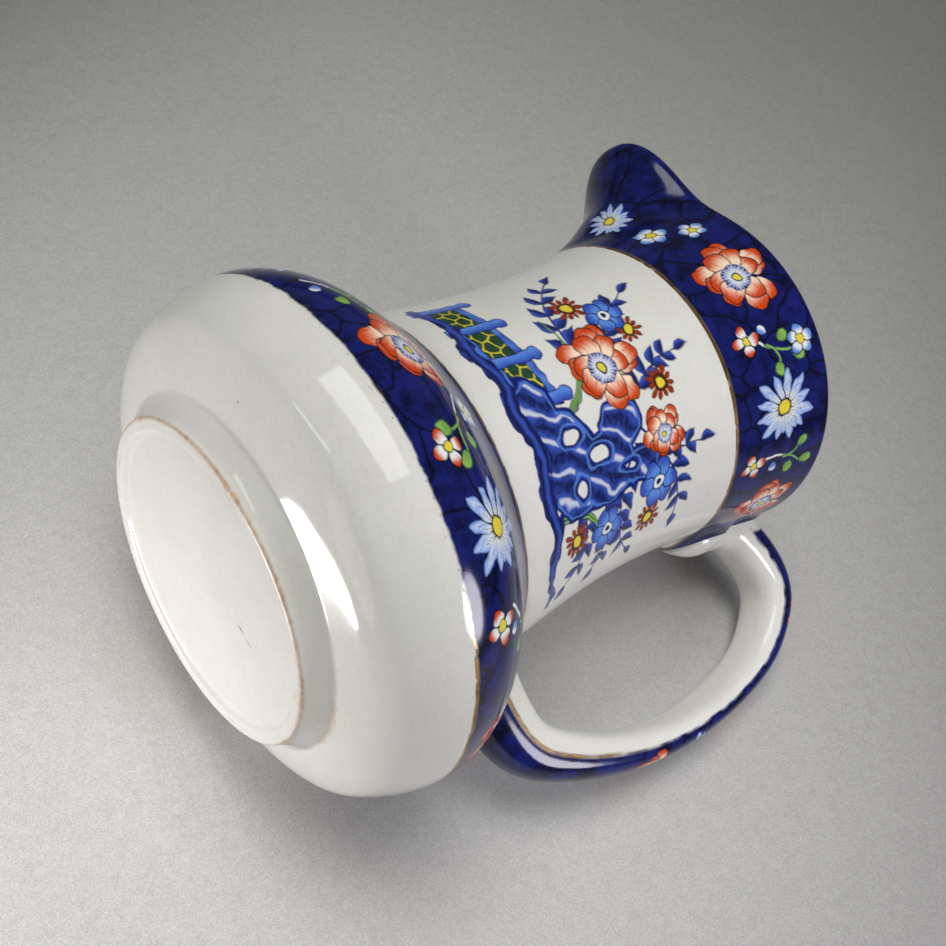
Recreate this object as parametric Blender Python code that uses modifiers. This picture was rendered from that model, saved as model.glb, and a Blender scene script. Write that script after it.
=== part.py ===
"""Ceramic jug: a turned body with a recessed foot, a pinched spout and a strap handle, fired as one piece.

Metres, +Z up. The origin is the centre of the foot on the plane that it stands on.
The handle is at +X and the spout at -X.
"""

import math

import bmesh
import bpy
import numpy as np

MM = 0.001

# Height of the turned rim, to which the neck adapts
RIM_HEIGHT = 160.4 * MM

# Foot, whose side leans out a little, the more the nearer it comes to the body
FOOT_RADIUS = 38.3 * MM
FOOT_HEIGHT = 5.8 * MM
FOOT_FLARE = 3.5 * MM
FOOT_HOLLOWNESS = 1.3
FOOT_RING_WIDTH = 3.4 * MM
FOOT_EDGE_ROUND = 0.7 * MM
RECESS_DEPTH = 1.2 * MM

# Belly and shoulder: the radius of each place that a potter would gauge, and how far it lies above the
# one before
UNDERSIDE_RADIUS = 50.6 * MM
UNDERSIDE_RISE = 2.4 * MM
UNDER_BELLY_RADIUS = 57.4 * MM
UNDER_BELLY_RISE = 4.9 * MM
BELLY_RADIUS = 61.9 * MM
BELLY_RISE = 15.1 * MM
SHOULDER_RADIUS = 55.7 * MM
SHOULDER_RISE = 14.6 * MM
SHOULDER_HOLLOW_RADIUS = 46.4 * MM
SHOULDER_HOLLOW_RISE = 9.8 * MM
LOWER_NECK_RADIUS = 43.3 * MM
LOWER_NECK_RISE = 9.9 * MM

# Neck, narrowest at this share of its length, and the collar that flares from it to the rim
NECK_RADIUS = 40.6 * MM
NARROWEST_PLACE = 0.482
COLLAR_RADIUS = 42.6 * MM
COLLAR_DEPTH = 32.5 * MM
RIM_RADIUS = 47.9 * MM

UNDERSIDE_HEIGHT = FOOT_HEIGHT + UNDERSIDE_RISE
UNDER_BELLY_HEIGHT = UNDERSIDE_HEIGHT + UNDER_BELLY_RISE
BELLY_HEIGHT = UNDER_BELLY_HEIGHT + BELLY_RISE
SHOULDER_HEIGHT = BELLY_HEIGHT + SHOULDER_RISE
SHOULDER_HOLLOW_HEIGHT = SHOULDER_HEIGHT + SHOULDER_HOLLOW_RISE
LOWER_NECK_HEIGHT = SHOULDER_HOLLOW_HEIGHT + LOWER_NECK_RISE
COLLAR_HEIGHT = RIM_HEIGHT - COLLAR_DEPTH
NECK_HEIGHT = LOWER_NECK_HEIGHT + NARROWEST_PLACE * (COLLAR_HEIGHT - LOWER_NECK_HEIGHT)

# Wall and floor
WALL = 4.2 * MM
FLOOR_THICKNESS = 5.0 * MM
FLOOR_CORNER_ROUND = 6.0 * MM

# Spout, pinched out of the collar: how far its lip hangs out past the rim and rises above it, its half
# angle at the lip and at the root, and how flat its front is
SPOUT_OVERHANG = 17.9 * MM
SPOUT_RISE = 1.0 * MM
SPOUT_LIP_ANGLE = math.radians(21.4)
SPOUT_ROOT_ANGLE = math.radians(7.0)
SPOUT_FLATNESS = 2.5
SPOUT_OPENING = 1.3
# The front line of the spout, as shares of its height and of its overhang
SPOUT_LINE = ((0.0, 0.0), (0.25, 0.10), (0.45, 0.24), (0.61, 0.38), (0.745, 0.66), (0.865, 0.97), (1.0, 1.0))

# Handle: how far its centre line stands out from the neck, how far under the rim it crests and springs
# from the wall, how far under the neck's lower end it comes back, and the half thickness and half width
# of its strap
HANDLE_SPAN = 49.4 * MM
CREST_DROP = 1.8 * MM
UPPER_ROOT_DROP = 14.2 * MM
LOWER_ROOT_DROP = 6.5 * MM
STRAP_HALF_THICKNESS = 4.35 * MM
STRAP_HALF_WIDTH = 7.5 * MM
UPPER_ROOT_HALF_THICKNESS = 6.4 * MM
LOWER_ROOT_HALF_THICKNESS = 9.2 * MM
ROOT_HALF_WIDTH = 8.2 * MM
STRAP_SQUARENESS = 2.6
# The strap is thinnest this far along its centre line, and half way to its roots' thickness this much
# of that way before and after
GRIP_PLACE = 5 / 9
GRIP_LENGTH = 0.4
# The centre line between the roots, as shares of the span and of the height between the lower root and
# the crest
HANDLE_LINE = (
    (0.32, 0.978),
    (0.595, 1.0),
    (0.78, 0.94),
    (0.925, 0.823),
    (1.0, 0.59),
    (0.925, 0.333),
    (0.725, 0.123),
    (0.443, 0.022),
)

# The knuckle that swells from the wall under the upper root
KNUCKLE_REACH = 6.2 * MM
KNUCKLE_HALF_HEIGHT = 7.6 * MM
KNUCKLE_HALF_WIDTH = 6.6 * MM
KNUCKLE_DROP = 21.8 * MM

# Fineness of the facets: how many there are round the body, and how much they crowd towards the spout;
# how many points the outline has along belly, neck and collar, outside and inside; where those of the
# foot's side lie on its height; and the handle's
TURNED_STEPS = 56
SPOUT_CROWDING = 0.4
CROWDED_FROM = 1 / 3
OUTER_COUNTS = (16, 7, 9)
INNER_COUNTS = (9, 5, 8)
FOOT_SHARES = (0.75, 0.5, 0.25)
TRIM_COUNT = 20
OUTLINE_SAMPLES = 200
HANDLE_STATIONS = 34
HANDLE_SIDES = 16
KNUCKLE_SEGMENTS = 16
KNUCKLE_RINGS = 10
SHARP_ANGLE = math.radians(40)
MERGE_DISTANCE = 0.00001

# The rounds of the lip and of the ring's inner edge end this far, in degrees, short of the sides
LIP_SHORT = 36
RING_SHORT = 30


def clear_scene():
    for found in list(bpy.data.objects):
        bpy.data.objects.remove(found, do_unlink=True)


def smooth_curve(places, values):
    """The natural cubic spline through the values, as a function that gives value and slope."""
    places = np.asarray(places, float)
    values = np.asarray(values, float)
    gaps = np.diff(places)
    steps = np.diff(values, axis=0)
    slopes = steps / (gaps if values.ndim == 1 else gaps[:, None])
    count = len(places)
    matrix = np.eye(count)
    right = np.zeros_like(values)
    for i in range(1, count - 1):
        matrix[i, i - 1 : i + 2] = gaps[i - 1], 2 * (gaps[i - 1] + gaps[i]), gaps[i]
        right[i] = 6 * (slopes[i] - slopes[i - 1])
    bend = np.linalg.solve(matrix, right)

    def at(place):
        i = int(np.clip(np.searchsorted(places, place) - 1, 0, count - 2))
        before, after, gap = place - places[i], places[i + 1] - place, gaps[i]
        value = (
            (bend[i] * after**3 + bend[i + 1] * before**3) / (6 * gap)
            + (values[i] / gap - bend[i] * gap / 6) * after
            + (values[i + 1] / gap - bend[i + 1] * gap / 6) * before
        )
        slope = (
            (bend[i + 1] * before**2 - bend[i] * after**2) / (2 * gap)
            + slopes[i]
            - (bend[i + 1] - bend[i]) * gap / 6
        )
        return value, slope

    return at


BODY_CURVE = smooth_curve(
    (
        FOOT_HEIGHT,
        UNDERSIDE_HEIGHT,
        UNDER_BELLY_HEIGHT,
        BELLY_HEIGHT,
        SHOULDER_HEIGHT,
        SHOULDER_HOLLOW_HEIGHT,
        LOWER_NECK_HEIGHT,
        NECK_HEIGHT,
        COLLAR_HEIGHT,
        RIM_HEIGHT,
    ),
    (
        FOOT_RADIUS + FOOT_FLARE,
        UNDERSIDE_RADIUS,
        UNDER_BELLY_RADIUS,
        BELLY_RADIUS,
        SHOULDER_RADIUS,
        SHOULDER_HOLLOW_RADIUS,
        LOWER_NECK_RADIUS,
        NECK_RADIUS,
        COLLAR_RADIUS,
        RIM_RADIUS,
    ),
)
SPOUT_CURVE = smooth_curve(*zip(*SPOUT_LINE))


def outer_radius(height):
    return float(BODY_CURVE(height)[0])


def slant(slope):
    """How much longer a wall's level thickness is than its true one, where its outline has this slope."""
    return math.sqrt(1 + slope**2)


def sunk_radius(height, depth):
    """The radius of the surface that lies this deep under the outer one."""
    radius, slope = BODY_CURVE(height)
    return float(radius - depth * slant(slope))


def even_heights(low, high, count):
    """Heights spaced evenly along the body's outline."""
    fine = np.linspace(low, high, OUTLINE_SAMPLES)
    radii = np.array([outer_radius(height) for height in fine])
    length = np.concatenate([[0], np.cumsum(np.hypot(np.diff(fine), np.diff(radii)))])
    return np.interp(np.linspace(0, length[-1], count), length, fine)


def arc(across, up, radius, start, end, count):
    """Points of a round in the profile plane, about (across, up), from one angle to another in degrees."""
    angles = np.radians(np.linspace(start, end, count))
    return [(across + radius * math.cos(a), up + radius * math.sin(a)) for a in angles]


def lip_base():
    """The height at which the wall ends and the half round of the lip begins."""
    return RIM_HEIGHT - WALL / 2


def wall_heights(low, counts):
    """The heights of the wall's points from low up to the lip, with so many along belly, neck and collar."""
    belly = even_heights(low, SHOULDER_HOLLOW_HEIGHT, counts[0])
    neck = even_heights(SHOULDER_HOLLOW_HEIGHT, COLLAR_HEIGHT, counts[1])
    collar = even_heights(COLLAR_HEIGHT, lip_base(), counts[2])
    return np.concatenate([belly[:-1], neck[:-1], collar])


def outer_side():
    """The outside from the lip down to the joint with the foot."""
    return [(outer_radius(height), height) for height in wall_heights(FOOT_HEIGHT, OUTER_COUNTS)[::-1]]


def foot_side():
    """The foot's leaning side, the rounded ring that it stands on and the recess inside the ring."""
    rise = FOOT_HEIGHT - FOOT_EDGE_ROUND
    inner = FOOT_RADIUS - FOOT_RING_WIDTH
    points = []
    for share in FOOT_SHARES:
        points.append((FOOT_RADIUS + FOOT_FLARE * share**FOOT_HOLLOWNESS, FOOT_EDGE_ROUND + rise * share))
    points += arc(FOOT_RADIUS - FOOT_EDGE_ROUND, FOOT_EDGE_ROUND, FOOT_EDGE_ROUND, 0, -90, 3)
    points += arc(inner + FOOT_EDGE_ROUND, FOOT_EDGE_ROUND, FOOT_EDGE_ROUND, -90, RING_SHORT - 180, 2)
    points += [(inner - RECESS_DEPTH / 2, RECESS_DEPTH), (0, RECESS_DEPTH)]
    return points


def inner_side():
    """The inside, from the middle of the floor out and up to the lip."""
    floor = RECESS_DEPTH + FLOOR_THICKNESS
    wall_start = floor + FLOOR_CORNER_ROUND / 2
    corner = sunk_radius(wall_start, WALL)
    points = [(0, floor), (corner - FLOOR_CORNER_ROUND, floor)]
    points += [(corner - FLOOR_CORNER_ROUND / 3, floor + FLOOR_CORNER_ROUND / 6)]
    return points + [(sunk_radius(height, WALL), height) for height in wall_heights(wall_start, INNER_COUNTS)]


def lip():
    """The half round over the top of the wall, from the inside to the outside."""
    inside = sunk_radius(lip_base(), WALL)
    outside = outer_radius(lip_base())
    return arc((inside + outside) / 2, lip_base(), (outside - inside) / 2, 180 - LIP_SHORT, LIP_SHORT, 4)


def spout_share(height):
    """How far up the spout this height of the unpinched wall lies, from 0 at its root to 1 at the rim."""
    return float(np.clip((height - COLLAR_HEIGHT) / COLLAR_DEPTH, 0, 1))


def spout_pull(angle, share):
    """How much of the spout's overhang the wall has at this angle from its middle: a bell, widest on top."""
    half_angle = SPOUT_ROOT_ANGLE + (SPOUT_LIP_ANGLE - SPOUT_ROOT_ANGLE) * share**SPOUT_OPENING
    return math.exp(-abs(angle / half_angle) ** SPOUT_FLATNESS)


def pinch(radius, height, angle):
    """Where the spout moves a point of the turned wall, given as radius, height and angle from the spout."""
    share = spout_share(height)
    if share == 0:
        return radius, height
    pull = spout_pull(angle, share)
    reach, reach_slope = SPOUT_CURVE(share)
    outside, slope = BODY_CURVE(height)
    front_slope = slope + reach_slope * SPOUT_OVERHANG / COLLAR_DEPTH
    depth = min(max((outside - radius) / WALL, 0), 1)
    thinning = depth * WALL * (slant(front_slope) - slant(slope))
    return radius + pull * (reach * SPOUT_OVERHANG - thinning), height + pull * share * SPOUT_RISE


def new_collection(name):
    made = bpy.data.collections.new(name)
    bpy.context.scene.collection.children.link(made)
    return made


def glazed_ceramic():
    material = bpy.data.materials.new("glazed_ceramic")
    material.use_nodes = True
    shader = material.node_tree.nodes["Principled BSDF"]
    shader.inputs["Base Color"].default_value = (0.62, 0.64, 0.60, 1)
    shader.inputs["Roughness"].default_value = 0.12
    shader.inputs["Metallic"].default_value = 0.0
    return material


def add_mesh(name, points, faces, collection):
    """An object with this mesh, closed, with its faces pointing out."""
    mesh = bpy.data.meshes.new(name)
    mesh.from_pydata(points, [], faces)
    shape = bmesh.new()
    shape.from_mesh(mesh)
    bmesh.ops.remove_doubles(shape, verts=shape.verts, dist=MERGE_DISTANCE)
    bmesh.ops.recalc_face_normals(shape, faces=shape.faces)
    shape.to_mesh(mesh)
    shape.free()
    made = bpy.data.objects.new(name, mesh)
    collection.objects.link(made)
    return made


def turned(name, profile, collection):
    """A turned solid: the profile, from axis to axis, swept round Z by a Screw modifier and made a mesh."""
    points = [(radius, 0, height) for radius, height in profile]
    edges = [(i, i + 1) for i in range(len(points) - 1)]
    outline = bpy.data.meshes.new(name + "_profile")
    outline.from_pydata(points, edges, [])
    spun = bpy.data.objects.new(name + "_profile", outline)
    collection.objects.link(spun)
    screw = spun.modifiers.new("Turn", "SCREW")
    screw.steps = screw.render_steps = TURNED_STEPS
    screw.use_merge_vertices = True
    screw.merge_threshold = MERGE_DISTANCE
    graph = bpy.context.evaluated_depsgraph_get()
    mesh = bpy.data.meshes.new_from_object(spun.evaluated_get(graph))
    bpy.data.objects.remove(spun, do_unlink=True)
    mesh.name = name
    made = bpy.data.objects.new(name, mesh)
    collection.objects.link(made)
    return made


def pull_spout(turned_body):
    """Crowds the facets round the spout, then moves each point of the collar as the pinch says."""
    for vertex in turned_body.data.vertices:
        x, y, height = vertex.co
        radius = math.hypot(x, y)
        angle = math.atan2(y, -x)
        crowded = angle - SPOUT_CROWDING * math.sin(angle) * min(1, spout_share(height) / CROWDED_FROM)
        radius, height = pinch(radius, height, crowded)
        vertex.co = (-radius * math.cos(crowded), radius * math.sin(crowded), height)


def handle_stations():
    """Points, outward normals, half thicknesses and half widths along the handle's centre line."""
    lower_root = LOWER_NECK_HEIGHT - LOWER_ROOT_DROP
    height = RIM_HEIGHT - CREST_DROP - lower_root
    line = [(COLLAR_RADIUS - WALL, RIM_HEIGHT - UPPER_ROOT_DROP)]
    line += [(NECK_RADIUS + HANDLE_SPAN * out, lower_root + height * up) for out, up in HANDLE_LINE]
    line += [(NECK_RADIUS - 2 * WALL, lower_root)]
    centre = smooth_curve(range(len(line)), line)
    last = len(line) - 1
    grip = last * GRIP_PLACE
    thickness = smooth_curve(
        (0, grip * (1 - GRIP_LENGTH), grip, grip * (1 + GRIP_LENGTH), last),
        (
            UPPER_ROOT_HALF_THICKNESS,
            (STRAP_HALF_THICKNESS + UPPER_ROOT_HALF_THICKNESS) / 2,
            STRAP_HALF_THICKNESS,
            (STRAP_HALF_THICKNESS + LOWER_ROOT_HALF_THICKNESS) / 2,
            LOWER_ROOT_HALF_THICKNESS,
        ),
    )
    width = smooth_curve((0, grip, last), (ROOT_HALF_WIDTH, STRAP_HALF_WIDTH, ROOT_HALF_WIDTH))
    stations = []
    for place in np.linspace(0, last, HANDLE_STATIONS):
        point, tangent = centre(place)
        normal = np.array((-tangent[1], tangent[0])) / np.linalg.norm(tangent)
        stations.append((point, normal, float(thickness(place)[0]), float(width(place)[0])))
    return stations


def rounded_square(angle, half_across, half_along):
    """A point of a superellipse, the strap's rounded oblong section."""
    power = 2 / STRAP_SQUARENESS
    across = half_across * math.copysign(abs(math.cos(angle)) ** power, math.cos(angle))
    along = half_along * math.copysign(abs(math.sin(angle)) ** power, math.sin(angle))
    return across, along


def add_handle(collection):
    """The strap: its section lofted along the centre line, with a flat end inside the wall at each root."""
    points, faces = [], []
    stations = handle_stations()
    for point, normal, half_thickness, half_width in stations:
        for side in range(HANDLE_SIDES):
            across, along = rounded_square(2 * math.pi * side / HANDLE_SIDES, half_thickness, half_width)
            points.append((point[0] + normal[0] * across, along, point[1] + normal[1] * across))
    for ring in range(len(stations) - 1):
        for side in range(HANDLE_SIDES):
            a, b = ring * HANDLE_SIDES + side, ring * HANDLE_SIDES + (side + 1) % HANDLE_SIDES
            faces.append((a, b, b + HANDLE_SIDES, a + HANDLE_SIDES))
    faces.append(tuple(range(HANDLE_SIDES)))
    faces.append(tuple(range(len(points) - HANDLE_SIDES, len(points))))
    return add_mesh("handle_strap", points, faces, collection)


def add_knuckle(collection):
    """The swelling of clay that fills the corner between the wall and the strap's upper root."""
    shape = bmesh.new()
    bmesh.ops.create_uvsphere(shape, u_segments=KNUCKLE_SEGMENTS, v_segments=KNUCKLE_RINGS, radius=1)
    height = RIM_HEIGHT - KNUCKLE_DROP
    for vertex in shape.verts:
        vertex.co.x = outer_radius(height) + vertex.co.x * KNUCKLE_REACH
        vertex.co.y *= KNUCKLE_HALF_WIDTH
        vertex.co.z = height + vertex.co.z * KNUCKLE_HALF_HEIGHT
    mesh = bpy.data.meshes.new("handle_knuckle")
    shape.to_mesh(mesh)
    shape.free()
    made = bpy.data.objects.new("handle_knuckle", mesh)
    collection.objects.link(made)
    return made


def add_root_trim(collection):
    """A turned solid out to the middle of the wall, which cuts the handle off inside the clay."""
    floor = RECESS_DEPTH + FLOOR_THICKNESS
    heights = even_heights(floor, RIM_HEIGHT, TRIM_COUNT)[::-1]
    above = RIM_HEIGHT + UPPER_ROOT_HALF_THICKNESS + WALL
    side = [(sunk_radius(height, WALL / 2), height) for height in heights]
    profile = [(0, above), (side[0][0], above)] + side + [(0, floor)]
    return turned("root_trim", profile, collection)


def hide(helper):
    helper.hide_render = True
    helper.display_type = "WIRE"


def combine(target, operation, helper):
    """A Boolean that stays on its object."""
    modifier = target.modifiers.new(helper.name, "BOOLEAN")
    modifier.operation = operation
    modifier.object = helper
    modifier.solver = "EXACT"
    hide(helper)


def add_jug():
    clear_scene()
    parts = new_collection("ceramic_jug")
    cutters = new_collection("cutters")
    jug = turned("jug", inner_side() + lip() + outer_side() + foot_side(), parts)
    pull_spout(jug)
    strap = add_handle(cutters)
    combine(strap, "UNION", add_knuckle(cutters))
    combine(strap, "DIFFERENCE", add_root_trim(cutters))
    combine(jug, "UNION", strap)
    jug.data.materials.append(glazed_ceramic())
    jug.data.shade_smooth()
    jug.data.set_sharp_from_angle(angle=SHARP_ANGLE)
    return jug


add_jug()
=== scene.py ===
"""Dressed model of a glazed ceramic jug: fine turned skin, painted bands, gold lines and a plain studio.

Metres, +Z up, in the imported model's frame. The foot stands on Z = 0, the handle is at +X and the spout
at -X. The jug is seen as it lies on its side on a table, so the camera looks up at it past its foot.
"""

import math

import bpy
import numpy as np
from mathutils import Matrix, Vector


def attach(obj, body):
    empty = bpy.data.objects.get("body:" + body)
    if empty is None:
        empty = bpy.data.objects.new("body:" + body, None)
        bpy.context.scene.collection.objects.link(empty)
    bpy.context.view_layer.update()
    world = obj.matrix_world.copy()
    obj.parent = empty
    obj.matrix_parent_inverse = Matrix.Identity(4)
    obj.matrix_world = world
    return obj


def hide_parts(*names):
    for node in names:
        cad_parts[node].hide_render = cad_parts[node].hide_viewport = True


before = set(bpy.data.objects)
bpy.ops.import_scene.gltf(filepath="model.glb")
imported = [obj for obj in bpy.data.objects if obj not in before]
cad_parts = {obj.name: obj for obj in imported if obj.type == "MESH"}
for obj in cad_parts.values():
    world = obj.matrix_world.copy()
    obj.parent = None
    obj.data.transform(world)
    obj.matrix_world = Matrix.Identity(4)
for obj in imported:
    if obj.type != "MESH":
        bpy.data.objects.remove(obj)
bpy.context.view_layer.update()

bl_info = {
    "name": "Glazed jug",
    "version": (1, 0, 0),
    "blender": (4, 5, 0),
    "location": "View3D > Sidebar > Jug",
    "description": "Builds the painted and glazed surfaces of a ceramic jug, and a studio for it",
    "category": "Add Mesh",
}

MM = 0.001

# The front line of the spout, as shares of its height and of its overhang
SPOUT_LINE = ((0, 0), (0.25, 0.10), (0.45, 0.24), (0.61, 0.38), (0.745, 0.66), (0.865, 0.97), (1, 1))
# The share of the spout's height over which it eases out of the round wall
SPOUT_EASE = 0.16
# The handle's centre line between its roots, as shares of its span and of its height
HANDLE_LINE = (
    (0.32, 0.978),
    (0.595, 1.0),
    (0.78, 0.94),
    (0.925, 0.823),
    (1.0, 0.59),
    (0.925, 0.333),
    (0.725, 0.123),
    (0.443, 0.022),
)
# Where the strap is thinnest along that line, and how far on both sides it thickens, as shares
GRIP_PLACE = 5 / 9
GRIP_LENGTH = 0.4
# Step of the section line, and over how many steps each way glaze softens its corners
SECTION_STEP = 0.05 * MM
SOFT_STEPS = 18
# Least level of a point in the strap or knuckle, so that nothing is divided by nought
LEAST_LEVEL = 0.05

# Azimuths in degrees: 0 is the handle, -90 the side that faces the camera, 180 the spout
FRONT = (-180.0, 0.0)
BACK = (0.0, 180.0)
# The skin is rounded up to the handle within this azimuth
HANDLE_AZIMUTH = 30

# Heights in millimetres where one stretch of skin ends and the next begins, and the collar's reach inside
BELLY_START = 24.0
WAIST_START = 55.0
COLLAR_START = 126.4
LIP_REACH = 2.5
# The waist's picture: its azimuths, height and reach, and the heights between which it is drawn
PICTURE_AZIMUTHS = (-97, 86)
PICTURE_HEIGHT = 89
PICTURE_REACH = 44
PICTURE_ENDS = (59.5, 119.5)
# Radii in millimetres that turn an azimuth into a length for random shades, on the body and on the foot
BODY_ROUND = 50
FOOT_ROUND = 38
# Steps in millimetres between rows of vertices: under fine paint, on the far side and on plain skin
FINE = 0.27
COARSE = 0.5
PLAIN = 1.6

# The table that the jug lies on, the camera and what the lights face
TABLE_NORMAL = (0.485, 0.868, 0.108)
TABLE_GAP = 64.5
TABLE_HALF = 3.0
CAMERA_PLACE = (-0.029171, -0.246095, -0.087480)
CAMERA_TARGET = (0.002362, -0.000280, 0.075926)
FOOT = (0.0, 0.0, 0.0)
BELLY = (0.0, -0.03, 0.04)


def length(name, value, description):
    return bpy.props.FloatProperty(name=name, description=description, default=value * MM, unit="LENGTH")


def number(name, value, description):
    return bpy.props.FloatProperty(name=name, description=description, default=value)


def tint(name, red, green, blue, description):
    """A colour property; red, green and blue are 0 to 255 as a screen shows them."""
    return bpy.props.FloatVectorProperty(
        name=name, description=description, subtype="COLOR", size=3, default=screen(red, green, blue)
    )


def screen(red, green, blue):
    """Linear light for a colour given as a screen shows it, 0 to 255."""
    values = np.array((red, green, blue)) / 255
    linear = np.where(values <= 0.04045, values / 12.92, ((values + 0.055) / 1.055) ** 2.4)
    return tuple(float(value) for value in linear)


class JugSizes(bpy.types.PropertyGroup):
    """The turned body, the pinched spout and the handle."""

    rim_height: length("Rim height", 160.4, "Height of the turned rim")
    foot_radius: length("Foot radius", 38.3, "Radius of the foot ring")
    foot_height: length("Foot height", 5.8, "Height at which the foot meets the belly")
    foot_flare: length("Foot flare", 3.5, "How much wider the foot is where it meets the belly")
    foot_hollowness: number("Foot hollowness", 1.3, "Power of the foot's side, where 1 is straight")
    foot_ring: length("Foot ring", 3.4, "Width of the ring that the jug stands on")
    foot_edge: length("Foot edge", 0.7, "Round of the ring's outer edge")
    recess: length("Recess", 1.2, "Depth of the recess inside the ring")
    underside_radius: length("Underside radius", 50.6, "Radius of the flat underside of the belly")
    underside_rise: length("Underside rise", 2.4, "Height of that place above the foot")
    under_belly_radius: length("Under belly radius", 57.4, "Radius where the belly turns up")
    under_belly_rise: length("Under belly rise", 4.9, "Height of that place above the underside")
    belly_radius: length("Belly radius", 61.9, "Radius of the belly")
    belly_rise: length("Belly rise", 15.1, "Height of the belly above the place under it")
    shoulder_radius: length("Shoulder radius", 55.7, "Radius of the shoulder")
    shoulder_rise: length("Shoulder rise", 14.6, "Height of the shoulder above the belly")
    hollow_radius: length("Hollow radius", 46.4, "Radius of the hollow over the shoulder")
    hollow_rise: length("Hollow rise", 9.8, "Height of the hollow above the shoulder")
    lower_neck_radius: length("Lower neck radius", 43.3, "Radius where the neck begins")
    lower_neck_rise: length("Lower neck rise", 9.9, "Height of the neck's beginning above the hollow")
    neck_radius: length("Neck radius", 40.6, "Radius of the neck where it is narrowest")
    neck_place: number("Neck place", 0.482, "Where the neck is narrowest, as a share of its length")
    collar_radius: length("Collar radius", 42.6, "Radius where the collar begins")
    collar_depth: length("Collar depth", 32.5, "Height of the collar below the rim")
    rim_radius: length("Rim radius", 47.9, "Radius of the rim")
    wall: length("Wall", 4.2, "Thickness of the wall")
    floor: length("Floor", 5.0, "Thickness of the floor")
    floor_round: length("Floor round", 6.0, "Round of the corner inside, between floor and wall")
    spout_overhang: length("Spout overhang", 17.9, "How far the spout's lip hangs out past the rim")
    spout_rise: length("Spout rise", 1.0, "How far the spout's lip rises above the rim")
    spout_lip_angle: number("Spout lip angle", 21.4, "Half angle of the spout at its lip, in degrees")
    spout_root_angle: number("Spout root angle", 7.0, "Half angle of the spout at its root, in degrees")
    spout_flatness: number("Spout flatness", 2.5, "How flat the front of the spout is")
    spout_opening: number("Spout opening", 1.3, "How late the spout widens on its way up")
    handle_span: length("Handle span", 49.4, "How far the handle's centre line stands out from the neck")
    crest_drop: length("Crest drop", 1.8, "How far under the rim the handle crests")
    upper_root_drop: length("Upper root drop", 14.2, "How far under the rim the handle springs out")
    lower_root_drop: length("Lower root drop", 6.5, "How far under the neck's lower end it comes back")
    strap_thickness: length("Strap thickness", 4.35, "Half thickness of the strap at the grip")
    strap_width: length("Strap width", 7.5, "Half width of the strap at the grip")
    upper_root_thickness: length("Upper root thickness", 6.4, "Half thickness of the strap's upper root")
    lower_root_thickness: length("Lower root thickness", 9.2, "Half thickness of the strap's lower root")
    root_width: length("Root width", 8.2, "Half width of the strap's roots")
    strap_squareness: number("Strap squareness", 2.6, "Power of the strap's superellipse section")
    knuckle_reach: length("Knuckle reach", 6.2, "How far the knuckle under the handle stands out")
    knuckle_height: length("Knuckle height", 7.6, "Half height of the knuckle")
    knuckle_width: length("Knuckle width", 6.6, "Half width of the knuckle")
    knuckle_drop: length("Knuckle drop", 21.8, "How far under the rim the knuckle lies")
    fillet: length("Fillet", 3.4, "Round of the clay in the corners between wall and handle")
    knuckle_fillet: length("Knuckle fillet", 8.0, "Round of the clay in the corners about the knuckle")
    band_low: length("Band low", 25.5, "Height of the belly band's lower edge")
    band_high: length("Band high", 53.5, "Height of the belly band's upper edge")


class JugColours(bpy.types.PropertyGroup):
    """Glaze, inks, gold and bare clay."""

    glaze: tint("Glaze", 224, 223, 218, "The warm white glaze")
    glaze_shade: tint("Glaze shade", 219, 219, 212, "The same where it lies thicker")
    speck: tint("Speck", 158, 148, 132, "Pits and specks in the glaze")
    cobalt: tint("Cobalt", 19, 29, 104, "The bands' blue ground")
    cobalt_deep: tint("Deep cobalt", 4, 8, 44, "The same where it pools")
    vein: tint("Vein", 3, 5, 28, "The dark net in the cobalt")
    gold: tint("Gold", 178, 140, 84, "Burnished gold lines")
    gold_worn: tint("Worn gold", 92, 68, 40, "The same where it is rubbed thin")
    clay: tint("Clay", 212, 180, 142, "Bare stained clay on the foot ring")
    clay_deep: tint("Deep clay", 170, 128, 90, "The same where dirt sits in it")
    blue: tint("Mid blue", 54, 84, 184, "Enamel of the blue flowers")
    pale_blue: tint("Pale blue", 92, 140, 222, "Enamel of pale petals and stems")
    white: tint("White", 232, 236, 234, "White enamel")
    orange: tint("Orange", 206, 70, 20, "Enamel of the orange flowers")
    pale_orange: tint("Pale orange", 252, 224, 196, "The light side of orange petals")
    yellow: tint("Yellow", 228, 208, 66, "Enamel of the flowers' eyes")
    green: tint("Green", 134, 184, 88, "The light side of leaves")
    green_deep: tint("Deep green", 40, 78, 52, "The deep side of leaves")
    ink_brown: tint("Brown ink", 72, 36, 20, "Outlines of warm flowers")
    ink_blue: tint("Blue ink", 22, 30, 84, "Outlines of blue flowers")


class StageSettings(bpy.types.PropertyGroup):
    """Table, camera and light."""

    table_colour: tint("Table colour", 197, 196, 194, "The table that the jug lies on")
    # The table's painted shade: the dark end of its painted light falloff
    table_painted_shade: tint("Table shade", 122, 122, 120, "The same where it is greyer")
    floor_glow: number("Floor glow", 0.65, "The floor's own light, as no lamp faces it")
    lens: number("Lens", 45.046, "Focal length in millimetres on a 36 mm sensor")
    roll: number("Roll", 1.142, "Turn of the camera about its view, in radians")


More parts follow.
